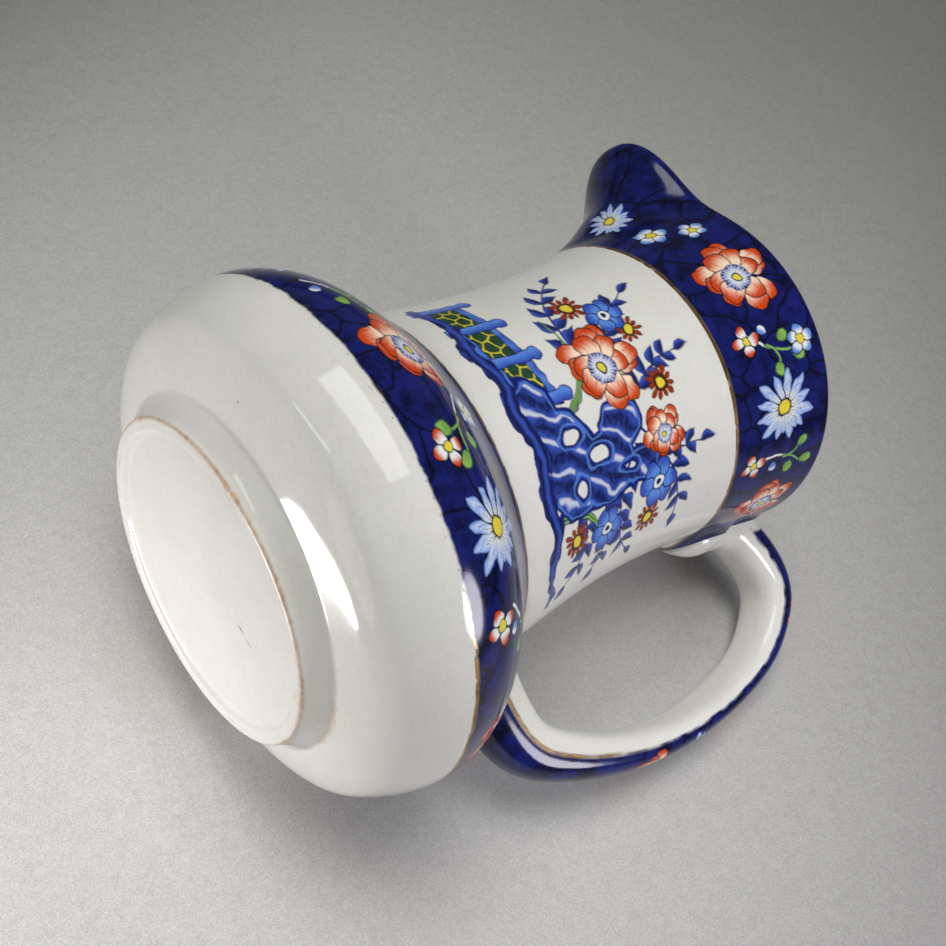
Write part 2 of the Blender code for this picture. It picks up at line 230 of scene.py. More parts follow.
def smooth_curve(places, values):
    """The natural cubic spline through the values, as a function that gives values and slopes.

    The bends at the places solve the usual tridiagonal equations, with none at the two ends.
    """
    places = np.asarray(places, float)
    values = np.asarray(values, float)
    flat = values.ndim == 1
    values = values.reshape(len(places), -1)
    gaps = np.diff(places)[:, None]
    slopes = np.diff(values, axis=0) / gaps
    matrix = np.eye(len(places))
    right = np.zeros_like(values)
    for i in range(1, len(places) - 1):
        matrix[i, i - 1 : i + 2] = gaps[i - 1, 0], 2 * (gaps[i - 1, 0] + gaps[i, 0]), gaps[i, 0]
        right[i] = 6 * (slopes[i] - slopes[i - 1])
    bend = np.linalg.solve(matrix, right)

    def at(place):
        place = np.asarray(place, float)
        i = np.clip(np.searchsorted(places, place) - 1, 0, len(places) - 2)
        before = (place - places[i])[..., None]
        after = (places[i + 1] - place)[..., None]
        gap = gaps[i]
        value = (bend[i] * after**3 + bend[i + 1] * before**3) / (6 * gap)
        value = value + (values[i] / gap - bend[i] * gap / 6) * after
        value = value + (values[i + 1] / gap - bend[i + 1] * gap / 6) * before
        slope = (bend[i + 1] * before**2 - bend[i] * after**2) / (2 * gap)
        slope = slope + slopes[i] - (bend[i + 1] - bend[i]) * gap / 6
        if flat:
            return value[..., 0], slope[..., 0]
        return value, slope

    return at


def smooth_step(share):
    """0 below 0, 1 above 1, and 3s^2 - 2s^3 between."""
    share = np.clip(share, 0, 1)
    return share * share * (3 - 2 * share)


def slant(slope):
    return np.sqrt(1 + slope**2)


def round_corner(gap, radius):
    """How far a skin rises towards another that it meets square on, for a round of this radius.

    It is the height of the quarter circle over the skin at this gap, up to where the two skins meet.
    """
    share = np.clip(1 - gap / radius, 0, math.sqrt(0.5))
    return radius * (1 - np.sqrt(1 - share**2))


class Form:
    """The jug's shape, worked out from its sizes."""

    def __init__(self, sizes):
        self.sizes = s = sizes
        underside = s.foot_height + s.underside_rise
        under_belly = underside + s.under_belly_rise
        belly = under_belly + s.belly_rise
        shoulder = belly + s.shoulder_rise
        hollow = shoulder + s.hollow_rise
        self.lower_neck = hollow + s.lower_neck_rise
        self.collar = s.rim_height - s.collar_depth
        neck = self.lower_neck + s.neck_place * (self.collar - self.lower_neck)
        heights = (s.foot_height, underside, under_belly, belly, shoulder, hollow)
        heights += (self.lower_neck, neck, self.collar, s.rim_height)
        radii = (s.foot_radius + s.foot_flare, s.underside_radius, s.under_belly_radius, s.belly_radius)
        radii += (s.shoulder_radius, s.hollow_radius, s.lower_neck_radius, s.neck_radius)
        radii += (s.collar_radius, s.rim_radius)
        self.body = smooth_curve(heights, radii)
        self.spout = smooth_curve(*zip(*SPOUT_LINE))
        self.lip_base = s.rim_height - s.wall / 2
        self.lay_section()
        self.lay_handle()

    def sunk(self, height, depth):
        """The radius of the surface that lies this deep under the outer one."""
        radius, slope = self.body(height)
        return radius - depth * slant(slope)

    def lay_section(self):
        """The section from the middle of the underside, round foot, wall and lip, to the floor inside.

        It is strung from straight runs, quarter and half circles, the flare's parabola and the body's
        spline, then softened over a short length, as glaze softens every corner.
        """
        s = self.sizes
        inner = s.foot_radius - s.foot_ring
        runs = []
        share = np.linspace(0, 1, 60)
        runs.append((np.linspace(0, inner - s.recess, 200), np.full(200, s.recess)))
        wave = 0.5 + 0.5 * np.cos(np.pi * share)
        runs.append((inner - s.recess + (s.recess + s.foot_edge) * share, s.recess * wave))
        flat = s.foot_radius - s.foot_edge
        angle = np.pi / 2 * share
        runs.append((flat + s.foot_edge * np.sin(angle), s.foot_edge * (1 - np.cos(angle))))
        rise = s.foot_height - s.foot_edge
        runs.append((s.foot_radius + s.foot_flare * share**s.foot_hollowness, s.foot_edge + rise * share))
        heights = np.linspace(s.foot_height, self.lip_base, 3000)
        runs.append((self.body(heights)[0], heights))
        outside, inside = self.body(self.lip_base)[0], self.sunk(self.lip_base, s.wall)
        middle, half = (outside + inside) / 2, (outside - inside) / 2
        angle = np.pi * share
        runs.append((middle + half * np.cos(angle), self.lip_base + half * np.sin(angle)))
        floor = s.recess + s.floor
        wall_start = floor + s.floor_round / 2
        heights = np.linspace(self.lip_base, wall_start, 3000)
        runs.append((self.sunk(heights, s.wall), heights))
        corner = self.sunk(wall_start, s.wall)
        near, far = corner - s.floor_round / 3, corner - s.floor_round
        bend = (1 - share) ** 2, 2 * share * (1 - share), share**2
        runs.append(
            (
                bend[0] * corner + bend[1] * near + bend[2] * far,
                bend[0] * wall_start + bend[1] * floor + bend[2] * floor,
            )
        )
        runs.append((np.linspace(far, 0, 200), np.full(200, floor)))
        radius = np.concatenate([run[0] for run in runs])
        height = np.concatenate([run[1] for run in runs])
        along = np.concatenate([[0], np.cumsum(np.hypot(np.diff(radius), np.diff(height)))])
        ends = np.cumsum([len(run[0]) for run in runs]) - 1
        self.along = np.arange(0, along[-1] + SECTION_STEP / 2, SECTION_STEP)
        radius = np.interp(self.along, along, radius)
        height = np.interp(self.along, along, height)
        reach = SOFT_STEPS
        window = np.hanning(2 * reach + 3)[1:-1]
        window /= window.sum()
        padded = np.concatenate([-radius[reach:0:-1], radius, -radius[-2 : -reach - 2 : -1]])
        self.radius = np.convolve(padded, window, "valid")
        padded = np.concatenate([height[reach:0:-1], height, height[-2 : -reach - 2 : -1]])
        self.height = np.convolve(padded, window, "valid")
        self.radius[[0, -1]] = 0
        ring, edge, foot, lip, inside = along[ends[1:6]]
        self.marks = {"ring": ring, "edge": edge, "foot": foot, "lip": lip, "inside": inside}
        self.marks.update(crown=(lip + inside) / 2, end=self.along[-1])
        for name, at in (("band_low", s.band_low), ("band_high", s.band_high), ("collar", self.collar)):
            self.marks[name] = self.length_at(at)

    def length_at(self, height):
        """The length along the section at which the outer wall has this height."""
        wall = (self.along >= self.marks["foot"]) & (self.along <= self.marks["crown"])
        return float(np.interp(height, self.height[wall], self.along[wall]))

    def pinched(self, radius, height, azimuth):
        """The turned skin with its spout.

        At each height the wall moves out by the spout's reach there times a bell of the angle from its
        middle, exp(-|angle / half angle|^flatness), which widens upwards. The wall's inner side moves out
        less where the front leans more, so that its true thickness stays.
        """
        s = self.sizes
        share = np.clip((height - self.collar) / s.collar_depth, 0, 1)
        angle = np.abs(np.degrees(np.arctan2(np.sin(azimuth - np.pi), np.cos(azimuth - np.pi))))
        half = s.spout_root_angle + (s.spout_lip_angle - s.spout_root_angle) * share**s.spout_opening
        pull = np.exp(-((angle / half) ** s.spout_flatness))
        reach, reach_slope = self.spout(share)
        ease = smooth_step(share / SPOUT_EASE)
        reach = reach * ease
        outside, slope = self.body(height)
        front_slope = slope + reach_slope * s.spout_overhang / s.collar_depth
        depth = np.clip((outside - radius) / s.wall, 0, 1)
        thinning = depth * s.wall * (slant(front_slope) - slant(slope)) * ease
        return radius + pull * (reach * s.spout_overhang - thinning), height + pull * share * s.spout_rise

    def skin(self, along, azimuth):
        """Points of the jug's skin at lengths along the section and azimuths, with no handle."""
        radius = np.interp(along, self.along, self.radius)
        height = np.interp(along, self.along, self.height)
        radius, height = self.pinched(radius, height, azimuth)
        return np.stack((radius * np.cos(azimuth), radius * np.sin(azimuth), height), -1)

    def lay_handle(self):
        """The handle's centre line from root to root, and its half thickness and half width along it."""
        s = self.sizes
        low = self.lower_neck - s.lower_root_drop
        height = s.rim_height - s.crest_drop - low
        line = [(s.collar_radius - s.wall, s.rim_height - s.upper_root_drop)]
        line += [(s.neck_radius + s.handle_span * out, low + height * up) for out, up in HANDLE_LINE]
        line += [(s.neck_radius - 2 * s.wall, low)]
        self.last = len(line) - 1
        grip = self.last * GRIP_PLACE
        self.centre = smooth_curve(range(len(line)), line)
        places = (0, grip * (1 - GRIP_LENGTH), grip, grip * (1 + GRIP_LENGTH), self.last)
        upper, thin, lower = s.upper_root_thickness, s.strap_thickness, s.lower_root_thickness
        halves = (upper, (thin + upper) / 2, thin, (thin + lower) / 2, lower)
        self.thickness = smooth_curve(places, halves)
        self.width = smooth_curve((0, grip, self.last), (s.root_width, s.strap_width, s.root_width))
        self.knuckle_height = s.rim_height - s.knuckle_drop

    def strap(self, place, around):
        """Points of the strap: a superellipse section carried square along the centre line."""
        point, tangent = self.centre(place)
        tangent = tangent / np.linalg.norm(tangent, axis=-1, keepdims=True)
        power = 2 / self.sizes.strap_squareness
        across = self.thickness(place)[0] * np.sign(np.cos(around)) * np.abs(np.cos(around)) ** power
        level = self.width(place)[0] * np.sign(np.sin(around)) * np.abs(np.sin(around)) ** power
        x = point[..., 0] - tangent[..., 1] * across
        z = point[..., 1] + tangent[..., 0] * across
        return np.stack((x, level, z), -1)

    def gap_to_strap(self, points):
        """How far points lie outside the strap, measured in the section that is nearest to each."""
        places = np.linspace(0, self.last, 260)
        centre, tangent = self.centre(places)
        tangent = tangent / np.linalg.norm(tangent, axis=-1, keepdims=True)
        flat = points.reshape(-1, 3)
        gap = np.full(len(flat), 1.0)
        beside = np.abs(flat[:, 1]) < 20 * MM
        near = np.flatnonzero((flat[:, 0] > 0.5 * self.sizes.neck_radius) & beside)
        x, y, z = flat[near].T
        which = np.argmin((x[:, None] - centre[:, 0]) ** 2 + (z[:, None] - centre[:, 1]) ** 2, axis=1)
        across = -(x - centre[which, 0]) * tangent[which, 1] + (z - centre[which, 1]) * tangent[which, 0]
        power = self.sizes.strap_squareness
        across_share = np.abs(across / self.thickness(places[which])[0]) ** power
        level = (across_share + np.abs(y / self.width(places[which])[0]) ** power) ** (1 / power)
        gap[near] = np.hypot(across, y) * (1 - 1 / np.maximum(level, LEAST_LEVEL))
        return gap.reshape(points.shape[:-1])

    def gap_to_knuckle(self, points):
        """How far points lie outside the knuckle's ellipsoid, along the ray from its middle."""
        s = self.sizes
        middle = np.array((self.body(self.knuckle_height)[0], 0, self.knuckle_height))
        away = points - middle
        level = np.linalg.norm(away / (s.knuckle_reach, s.knuckle_width, s.knuckle_height), axis=-1)
        return np.linalg.norm(away, axis=-1) * (1 - 1 / np.maximum(level, LEAST_LEVEL))

    def gap_to_wall(self, points):
        """How far points lie outside the turned wall, measured square to it."""
        radius, slope = self.body(points[..., 2])
        return (np.hypot(points[..., 0], points[..., 1]) - radius) / slant(slope)


def grid_normals(points, closed=False):
    """Unit normals of a grid of points, from the cross product of its two central differences."""
    if closed:
        wrapped = np.concatenate([points[:, -2:-1], points, points[:, 1:2]], axis=1)
        across = wrapped[:, 2:] - wrapped[:, :-2]
    else:
        across = np.gradient(points, axis=1)
    along = np.gradient(points, axis=0)
    normals = np.cross(across, along)
    return normals / np.maximum(np.linalg.norm(normals, axis=-1, keepdims=True), 1e-15)


def extended(values):
    """The values with one more at each end, at the same step."""
    return np.concatenate([[2 * values[0] - values[1]], values, [2 * values[-1] - values[-2]]])


def stretches(*parts):
    """Values along a line, from (start, end, step) parts that follow on each other."""
    values = [parts[0][:1]]
    for start, end, step in parts:
        values.append(np.linspace(start, end, max(2, round(abs(end - start) / step) + 1))[1:])
    return np.concatenate(values)


def make_piece(name, points, normals, paint, ring=False, first_pole=None, last_pole=None):
    """A mesh of a grid of points that rides on the body and stands for the jug's plain solid.

    A ring's last column is its first, and a pole's row is one vertex, where the quads become triangles.
    """
    rows, columns = points.shape[:2]
    index = np.arange(rows * columns).reshape(rows, columns)
    if ring:
        index[:, -1] = index[:, 0]
    for row, pole in ((0, first_pole), (-1, last_pole)):
        if pole is not None:
            index[row] = index[row, 0]
            normals[row] = pole
    quads = np.stack((index[:-1, :-1], index[:-1, 1:], index[1:, 1:], index[1:, :-1]), -1).reshape(-1, 4)
    used, quads = np.unique(quads, return_inverse=True)
    quads = quads.reshape(-1, 4)
    keep = np.ones(quads.shape, bool)
    keep[:, 1] = quads[:, 0] != quads[:, 1]
    keep[:, 3] = quads[:, 2] != quads[:, 3]
    corners = keep.sum(axis=1)
    mesh = bpy.data.meshes.new(name)
    mesh.vertices.add(len(used))
    mesh.vertices.foreach_set("co", points.reshape(-1, 3)[used].astype(np.float32).ravel())
    mesh.loops.add(int(corners.sum()))
    mesh.loops.foreach_set("vertex_index", quads[keep].astype(np.int32))
    mesh.polygons.add(len(quads))
    mesh.polygons.foreach_set("loop_start", (np.cumsum(corners) - corners).astype(np.int32))
    mesh.update(calc_edges=True)
    mesh.shade_smooth()
    mesh.normals_split_custom_set_from_vertices(normals.reshape(-1, 3)[used])
    inks = mesh.attributes.new("print", "FLOAT_COLOR", "POINT")
    inks.data.foreach_set("color", paint.inks[used].astype(np.float32).ravel())
    for title in ("cobalt", "gold", "clay"):
        values = getattr(paint, title)[used].astype(np.float32)
        mesh.attributes.new(title, "FLOAT", "POINT").data.foreach_set("value", values)
    mesh.materials.append(glaze_material())
    made = bpy.data.objects.new(name, mesh)
    bpy.context.scene.collection.objects.link(made)
    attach(made, "root")
    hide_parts("jug")
    return made


def mottle(x, y, size, seed=0):
    """Smooth random shades from 0 to 1, hashed at the corners of a square net and eased between them."""
    x, y = x / size, y / size
    i, j = np.floor(x), np.floor(y)
    s, t = smooth_step(x - i), smooth_step(y - j)

    def hashed(i, j):
        wave = np.sin(i * 127.1 + j * 311.7 + seed * 74.7) * 43758.5453
        return wave - np.floor(wave)

    low = hashed(i, j) * (1 - s) + hashed(i + 1, j) * s
    high = hashed(i, j + 1) * (1 - s) + hashed(i + 1, j + 1) * s
    return low * (1 - t) + high * t


def border(x, y, size, seed=0):
    """How far points lie from the nearest border between cells strewn on a triangular net of this size.

    It is half of how much nearer the nearest cell's middle is than the next one's.
    """
    row = np.round(y / (0.87 * size))
    gaps = []
    for j in (-1, 0, 1):
        level = row + j
        shift = 0.5 * (level % 2)
        column = np.round(x / size - shift)
        for i in (-1, 0, 1):
            across, up = column + i, level
            stray = [mottle(across * 7.1 + seed, up * 5.3, 1.0, each) - 0.5 for each in (91, 93)]
            middle_x = (across + shift + 0.5 * stray[0]) * size
            middle_y = (up + 0.5 * stray[1]) * 0.87 * size
            gaps.append(np.hypot(x - middle_x, y - middle_y))
    gaps = np.sort(gaps, axis=0)
    return (gaps[1] - gaps[0]) / 2


def inside(distance, soft=0.22):
    """Cover of a shape whose edge lies this far off, in millimetres: 1 well inside it, 0 outside."""
    return np.clip(0.5 + distance / soft, 0, 1)


def blend(first, second, share):
    """Colours between two, one for each share."""
    return np.asarray(first) * (1 - share[:, None]) + np.asarray(second) * share[:, None]


class Paint:
    """Colours laid one over another on a stretch of skin, each line of them swayed a little as by hand.

    Across times the stretch there, and along, are millimetres on the skin. Inks are kept multiplied by
    their cover, so a layer of colour c and cover a turns the ink k under it into c a + k (1 - a).
    """

    def __init__(self, across, along, stretch, turns=False):
        across, along = np.broadcast_arrays(across, along)
        self.across, self.along = across.ravel(), along.ravel()
        self.stretch = stretch
        self.turns = turns
        self.inks = np.zeros((self.across.size, 4))
        x = self.across * stretch(self.along)
        self.sway = [0.7 * (mottle(x, self.along, 1.9, seed) - 0.5) for seed in (61, 67)]
        self.cobalt, self.gold, self.clay = np.zeros((3, self.across.size))

    def spot(self, place, reach, turn=0.0):
        """The cell of vertices within reach of a place, with their places in its own turned axes."""
        across, along = place
        x = self.across - across
        if self.turns:
            x = (x + np.pi) % (2 * np.pi) - np.pi
        x = x * self.stretch(along)
        y = self.along - along
        near = np.flatnonzero((np.abs(x) < reach) & (np.abs(y) < reach))
        x, y = x[near] + self.sway[0][near], y[near] + self.sway[1][near]
        return moved((near, x, y), 0, 0, turn)

    def lay(self, cell, cover, colour):
        near = cell[0]
        cover = np.clip(cover, 0, 1)[:, None]
        colour = np.broadcast_to(np.asarray(colour, float), (len(near), 3))
        layer = np.concatenate([colour, np.ones((len(near), 1))], axis=1)
        self.inks[near] = layer * cover + self.inks[near] * (1 - cover)


def moved(cell, x, y, turn=0.0, reach=None):
    """The cell seen from a point (x, y) in it, turned by degrees against the clock, cut to a reach."""
    near, over, up = cell
    over, up = over - x, up - y
    if reach:
        keep = (np.abs(over) < reach) & (np.abs(up) < reach)
        near, over, up = near[keep], over[keep], up[keep]
    c, s = math.cos(math.radians(turn)), math.sin(math.radians(turn))
    return near, over * c + up * s, up * c - over * s


def ink(name):
    return np.array(getattr(bpy.context.scene.jug_colours, name))


def rays(paint, cell, outer, heart, count, turn, half, deep, light, vein=None):
    """A ring of spoon-shaped petals with gaps, light down the middle and deep at the sides and tip."""
    _, x, y = cell
    step = 2 * np.pi / count
    angle = np.arctan2(y, x) - math.radians(turn)
    which = np.round(angle / step)
    r = np.hypot(x, y) / (1 + 0.09 * np.sin(which % count * 2.4 + outer))
    off = angle - which * step
    forward, side = r * np.cos(off), np.abs(r * np.sin(off))
    share = np.clip((forward - heart) / (outer - heart), 0, 1)
    width = half * np.sin(np.pi * (0.1 + 0.9 * share) ** 1.5) ** 0.75
    distance = np.minimum(width - side, np.minimum(forward - heart, outer - forward))
    tone = np.clip(1.2 - 0.6 * side / half - 0.95 * share**1.6, 0, 1)
    paint.lay(cell, inside(distance), blend(deep, light, tone))
    if vein is not None:
        paint.lay(cell, inside(0.1 - side) * inside(distance) * (share < 0.65) * 0.75, vein)


def lobe(paint, cell, x, y, turn, size, tip, base, line, slim=0.92):
    """A round petal that points along its turn, deep at the tip and pale at the base, on a dark edge."""
    cell = moved(cell, x, y, turn, size * 1.4 + 0.5)
    _, forward, side = cell
    wave = 1 + 0.05 * np.sin(3 * np.arctan2(side, forward) + x + 2 * y)
    distance = size - np.hypot(forward, side / slim) / wave
    streak = mottle(forward * 0.7, side * 3, 1.4, 5) - 0.5
    tone = smooth_step(0.42 + 0.9 * forward / size + 0.3 * streak)
    paint.lay(cell, inside(distance + 0.36), line)
    paint.lay(cell, inside(distance), blend(base, tip, tone))


def disc(paint, cell, radius, colour):
    _, x, y = cell
    paint.lay(cell, inside(radius - np.hypot(x, y)), colour)


def leaf(paint, cell, x, y, turn, size, width, deep, light, line):
    """A leaf from its stalk at (x, y), light on one side.

    Its half width swells and closes as the sine of its length.
    """
    cell = moved(cell, x, y, turn, size * 1.3)
    _, forward, side = cell
    share = np.clip(forward / size, 0, 1)
    side = side - 0.12 * size * np.sin(np.pi * share)
    half = width * np.sin(np.pi * share**0.85)
    distance = np.minimum(half - np.abs(side), np.minimum(forward, size - forward))
    tone = np.clip(0.5 + side / max(width, 0.2) * 0.9, 0, 1)
    paint.lay(cell, inside(distance), blend(deep, light, tone))
    paint.lay(cell, inside(0.11 - np.abs(side)) * inside(distance) * 0.8, line)
    paint.lay(cell, inside(0.2 - np.abs(distance)) * 0.6, line)


def stroke(paint, cell, points, width, colour, cover=1.0, taper=0.0):
    """A brush line through points, whose cover falls off with the distance to its nearest segment."""
    near, x, y = cell
    best = np.full(len(near), 99.0)
    points = np.asarray(points, float)
    last = len(points) - 1
    for i in range(last):
        (ax, ay), (bx, by) = points[i], points[i + 1]
        dx, dy = bx - ax, by - ay
        share = np.clip(((x - ax) * dx + (y - ay) * dy) / (dx * dx + dy * dy + 1e-9), 0, 1)
        gap = np.hypot(x - ax - share * dx, y - ay - share * dy)
        thin = width / 2 * (1 - taper * (i + share) / last)
        best = np.minimum(best, gap - thin)
    paint.lay(cell, inside(-best) * cover, colour)


def bow(start, end, sag, count=9):
    """Points of an arc from start to end that stands off its chord by sag, to the left of the way."""
    start, end = np.asarray(start, float), np.asarray(end, float)
    share = np.linspace(0, 1, count)[:, None]
    away = end - start
    square = np.array((-away[1], away[0])) / max(np.hypot(*away), 1e-9)
    return start + away * share + square * sag * 4 * share * (1 - share)


def daisy(paint, cell, size):
    """Two rings of narrow blue petals round a dark-edged yellow eye."""
    deep, light, line = ink("pale_blue"), ink("white"), ink("vein")
    rays(paint, cell, size, size * 0.26, 12, 3, size * 0.125, deep, light, line)
    rays(paint, cell, size * 0.76, size * 0.2, 11, 19, size * 0.115, deep, light, line)
    disc(paint, cell, size * 0.25, line)
    disc(paint, cell, size * 0.2, ink("yellow"))


def peony(paint, cell, size, line):
    """Round orange petals in two rings round a heart of fine blue rays that lies off the middle."""
    tip, base = ink("orange"), ink("pale_orange")
    for ring, count in ((0.67, 9), (0.45, 6)):
        for k in range(count):
            turn = 360 * k / count + 15 * math.sin(2.7 * k + 9 * ring) + 40 * ring
            reach = size * ring * (1 + 0.12 * math.sin(3.9 * k + 1))
            x, y = reach * math.cos(math.radians(turn)), reach * math.sin(math.radians(turn))
            lobe(paint, cell, x, y, turn, size * 0.3 * (1 + 0.15 * math.sin(5.1 * k)), tip, base, line)
    heart = moved(cell, 0.08 * size, -0.06 * size, 0, size * 0.6)
    disc(paint, heart, size * 0.37, line)
    rays(paint, heart, size * 0.39, size * 0.05, 22, 0, size * 0.045, ink("blue"), ink("white"))
    disc(paint, heart, size * 0.14, ink("ink_blue"))
    disc(paint, heart, size * 0.1, ink("yellow"))


def blossom(paint, cell, size, tip, base, line, eye, count=5):
    """A few round petals about a dark-edged eye."""
    for k in range(count):
        turn = 360 * (k + 0.08 * math.sin(4 * k)) / count
        x, y = 0.6 * size * math.cos(math.radians(turn)), 0.6 * size * math.sin(math.radians(turn))
        lobe(paint, cell, x, y, turn, size * 0.37, tip, base, line)
    disc(paint, cell, size * 0.32, line)
    disc(paint, cell, size * 0.26, eye)


def sprig(paint, cell, reach, hand):
    """A forked green stem, white at its foot, with round leaves and a white bud."""
    green, deep, white, navy = ink("green"), ink("green_deep"), ink("white"), ink("ink_blue")
    up = reach * hand
    stem = bow((-reach, 0), (0.75 * reach, 0.1 * up), 0.18 * up)
    fork = bow((-0.2 * reach, 0.16 * up), (0.3 * reach, 0.62 * up), -0.1 * up)
    for line in (stem, fork):
        stroke(paint, cell, line, 0.13 * reach, navy, taper=0.3)
        stroke(paint, cell, line, 0.075 * reach, green, taper=0.3)
    stroke(paint, cell, stem[:4], 0.08 * reach, white)
    for x, y, lean, size in ((0.95, 0.2, 10, 0.22), (0.36, 0.82, 60, 0.2), (0.3, -0.2, -50, 0.2)):
        lobe(paint, cell, x * reach, y * up, lean * hand, size * reach, green, green * 0.75, deep, 0.78)
    bud = -0.45 * reach, -0.24 * up, -70 * hand, 0.15 * reach
    lobe(paint, cell, *bud, white, ink("pale_blue"), navy)


def twig(paint, cell, points, pairs, size, width, colours, stem_width):
    """A stem through points with pairs of leaves that lean out and forward, smaller towards its tip."""
    deep, light, line, stem = colours
    stroke(paint, cell, points, stem_width, stem, taper=0.5)
    last = len(points) - 1

    def heading(i):
        away = points[i + 1] - points[i]
        return math.degrees(math.atan2(away[1], away[0]))

    for k in range(pairs):
        place = (0.15 + 0.85 * k / pairs) * last
        i = min(int(place), last - 1)
        base = points[i] + (points[i + 1] - points[i]) * (place - i)
        small = 1 - 0.35 * k / pairs
        for hand in (-1, 1):
            lean = heading(i) + hand * (46 + 7 * math.sin(k * 2.1 + hand))
            leaf(paint, cell, *base, lean, size * small, width * small, deep, light, line)
    leaf(paint, cell, *points[-1], heading(last - 1), size * 0.75, width * 0.7, deep, light, line)


def dress(paint, form):
    """Cobalt bands, their gold lines and the rubbed foot, by length along the section and by azimuth."""
    marks = {name: at / MM for name, at in form.marks.items()}
    along, azimuth = paint.along, paint.across
    degrees = np.degrees(azimuth)
    around = azimuth * BODY_ROUND
    fine = mottle(around, along, 0.7, 3) - 0.5
    rough = mottle(around, along, 2.3, 5) - 0.5
    slow = mottle(around, along * 0.2, 9.0, 8) - 0.5

    # The bands, whose edges waver a little
    low = marks["band_low"] + 0.45 * rough + 0.25 * fine
    high = marks["band_high"] + 0.25 * rough + 0.15 * fine
    collar = marks["collar"] + 0.2 * rough + 0.12 * fine
    crown = marks["crown"] + 0.3 + 0.3 * rough
    belly = np.minimum(along - low, high - along)
    top = np.minimum(along - collar, crown - along)
    paint.cobalt = np.maximum(inside(belly, 0.5), inside(top, 0.5))

    # Gold is left in two stretches on the belly band's lower edge, and all round the other lines
    left = smooth_step((degrees + 82) / 30) * smooth_step((40 - degrees) / 40)
    left = np.maximum(left, smooth_step((degrees - 110) / 20) * smooth_step((165 - degrees) / 20))
    keep = smooth_step((mottle(around, along, 1.1, 11) + 1.1 * left - 0.95) / 0.3)
    low_line = inside(0.42 - np.abs(along - marks["band_low"] - 0.2 * rough), 0.35) * keep
    high_line = inside(0.38 - np.abs(along - marks["band_high"] - 0.15 * slow), 0.3)
    high_line *= 0.45 + 0.55 * smooth_step((mottle(around, along, 1.6, 17) - 0.25) / 0.3)
    collar_line = inside(0.5 - np.abs(along - marks["collar"] - 0.15 * slow), 0.3)
    collar_line *= 0.55 + 0.45 * smooth_step((mottle(around, along, 2.2, 19) - 0.2) / 0.3)
    lip_line = inside(0.75 - np.abs(along - marks["crown"]) + 0.25 * slow, 0.4)
    lip_line *= 0.8 + 0.2 * smooth_step((mottle(around, along, 1.9, 23) - 0.3) / 0.25)
    paint.gold = np.maximum(np.maximum(low_line, high_line), np.maximum(collar_line, lip_line))

    # Crumbs of ink along the belly band's lower edge
    specks = smooth_step((mottle(around, along, 0.55, 29) - 0.88) / 0.06)
    edge = inside(0.9 - np.abs(along - marks["band_low"]), 0.6)
    cell = (np.arange(along.size), around, along)
    paint.lay(cell, specks * edge * 0.8, ink("ink_brown"))

    # Bare clay where the ring is rubbed, and a brown clay tint in the crease over it, on one side
    turn = azimuth * FOOT_ROUND
    hard = mottle(turn, 0 * along, 5.2, 31)
    grain = mottle(turn, along, 0.9, 33) - 0.5
    rub = inside(0.22 + 0.55 * hard + 0.6 * grain - np.abs(along - marks["edge"] + 0.55), 0.5)
    line = inside(0.3 + 0.5 * grain + 0.25 * hard - np.abs(along - marks["edge"] + 0.4), 0.4)
    paint.clay = np.maximum(rub * (0.35 + 0.6 * hard), line * (0.5 + 0.4 * mottle(turn, along, 2.4, 37)))
    inner = inside(0.5 + 1.4 * grain - np.abs(along - marks["ring"] - 0.6), 0.7)
    paint.clay = np.maximum(paint.clay, 0.3 * inner * smooth_step((hard - 0.5) / 0.3))
    crease = inside(0.7 + grain - np.abs(along - marks["foot"]), 0.8)
    crease = crease * smooth_step((degrees + 62) / 22) * smooth_step((20 - degrees) / 30)
    crease = crease * smooth_step((mottle(turn, along, 2.6, 35) - 0.3) / 0.3)
    paint.clay = np.maximum(paint.clay, 0.5 * crease)


def skin_patch(name, along, degrees, decorate=None, ring=False, first_pole=None, last_pole=None):
    """A stretch of the jug's skin as a grid, with the clay rounded up to the handle and its knuckle."""
    form = shape()
    azimuth = np.radians(degrees)
    grid = np.meshgrid(extended(along), extended(azimuth), indexing="ij")
    points = form.skin(*grid)
    if np.any(np.abs(degrees) < HANDLE_AZIMUTH):
        fillet = form.sizes.fillet
        rise = round_corner(form.gap_to_strap(points), fillet)
        rise = np.maximum(rise, round_corner(form.gap_to_knuckle(points), form.sizes.knuckle_fillet))
        outer = (grid[0] > form.marks["foot"]) & (grid[0] < form.marks["lip"])
        points = points + grid_normals(points) * (rise * outer)[..., None]
    normals = grid_normals(points)[1:-1, 1:-1].copy()
    points = points[1:-1, 1:-1]

    def radius(along):
        return np.interp(along * MM, form.along, form.radius) / MM

    paint = Paint(azimuth[None, :], along[:, None] / MM, radius, turns=True)
    dress(paint, form)
    if decorate:
        decorate(paint, form)
    return make_piece(name, points, normals, paint, ring, first_pole, last_pole)


def shape():
    return Form(bpy.context.scene.jug_sizes)


def on_wall(form, degrees, height):
    """A place on the outer wall, as a Paint of the skin takes it; the height is in millimetres."""
    return math.radians(degrees), form.length_at(height * MM) / MM


def strew(paint, form, sprigs, daisies, peonies, blossoms):
    """Flowers and sprigs, each at an azimuth, a height, a size and a turn, and then what its kind needs."""

    def cells(rows, reach):
        for degrees, height, size, turn, *rest in rows:
            yield paint.spot(on_wall(form, degrees, height), size * reach, turn), size, *rest

    for cell, size, hand in cells(sprigs, 1.5):
        sprig(paint, cell, size, hand)
    for cell, size in cells(daisies, 1.3):
        daisy(paint, cell, size)
    for cell, size in cells(peonies, 1.3):
        peony(paint, cell, size, ink("vein"))
    for cell, size, blue in cells(blossoms, 1.3):
        tip = ink("pale_blue") if blue else ink("orange")
        blossom(paint, cell, size, tip, ink("white"), ink("vein"), ink("yellow"), 5 if blue else 4)


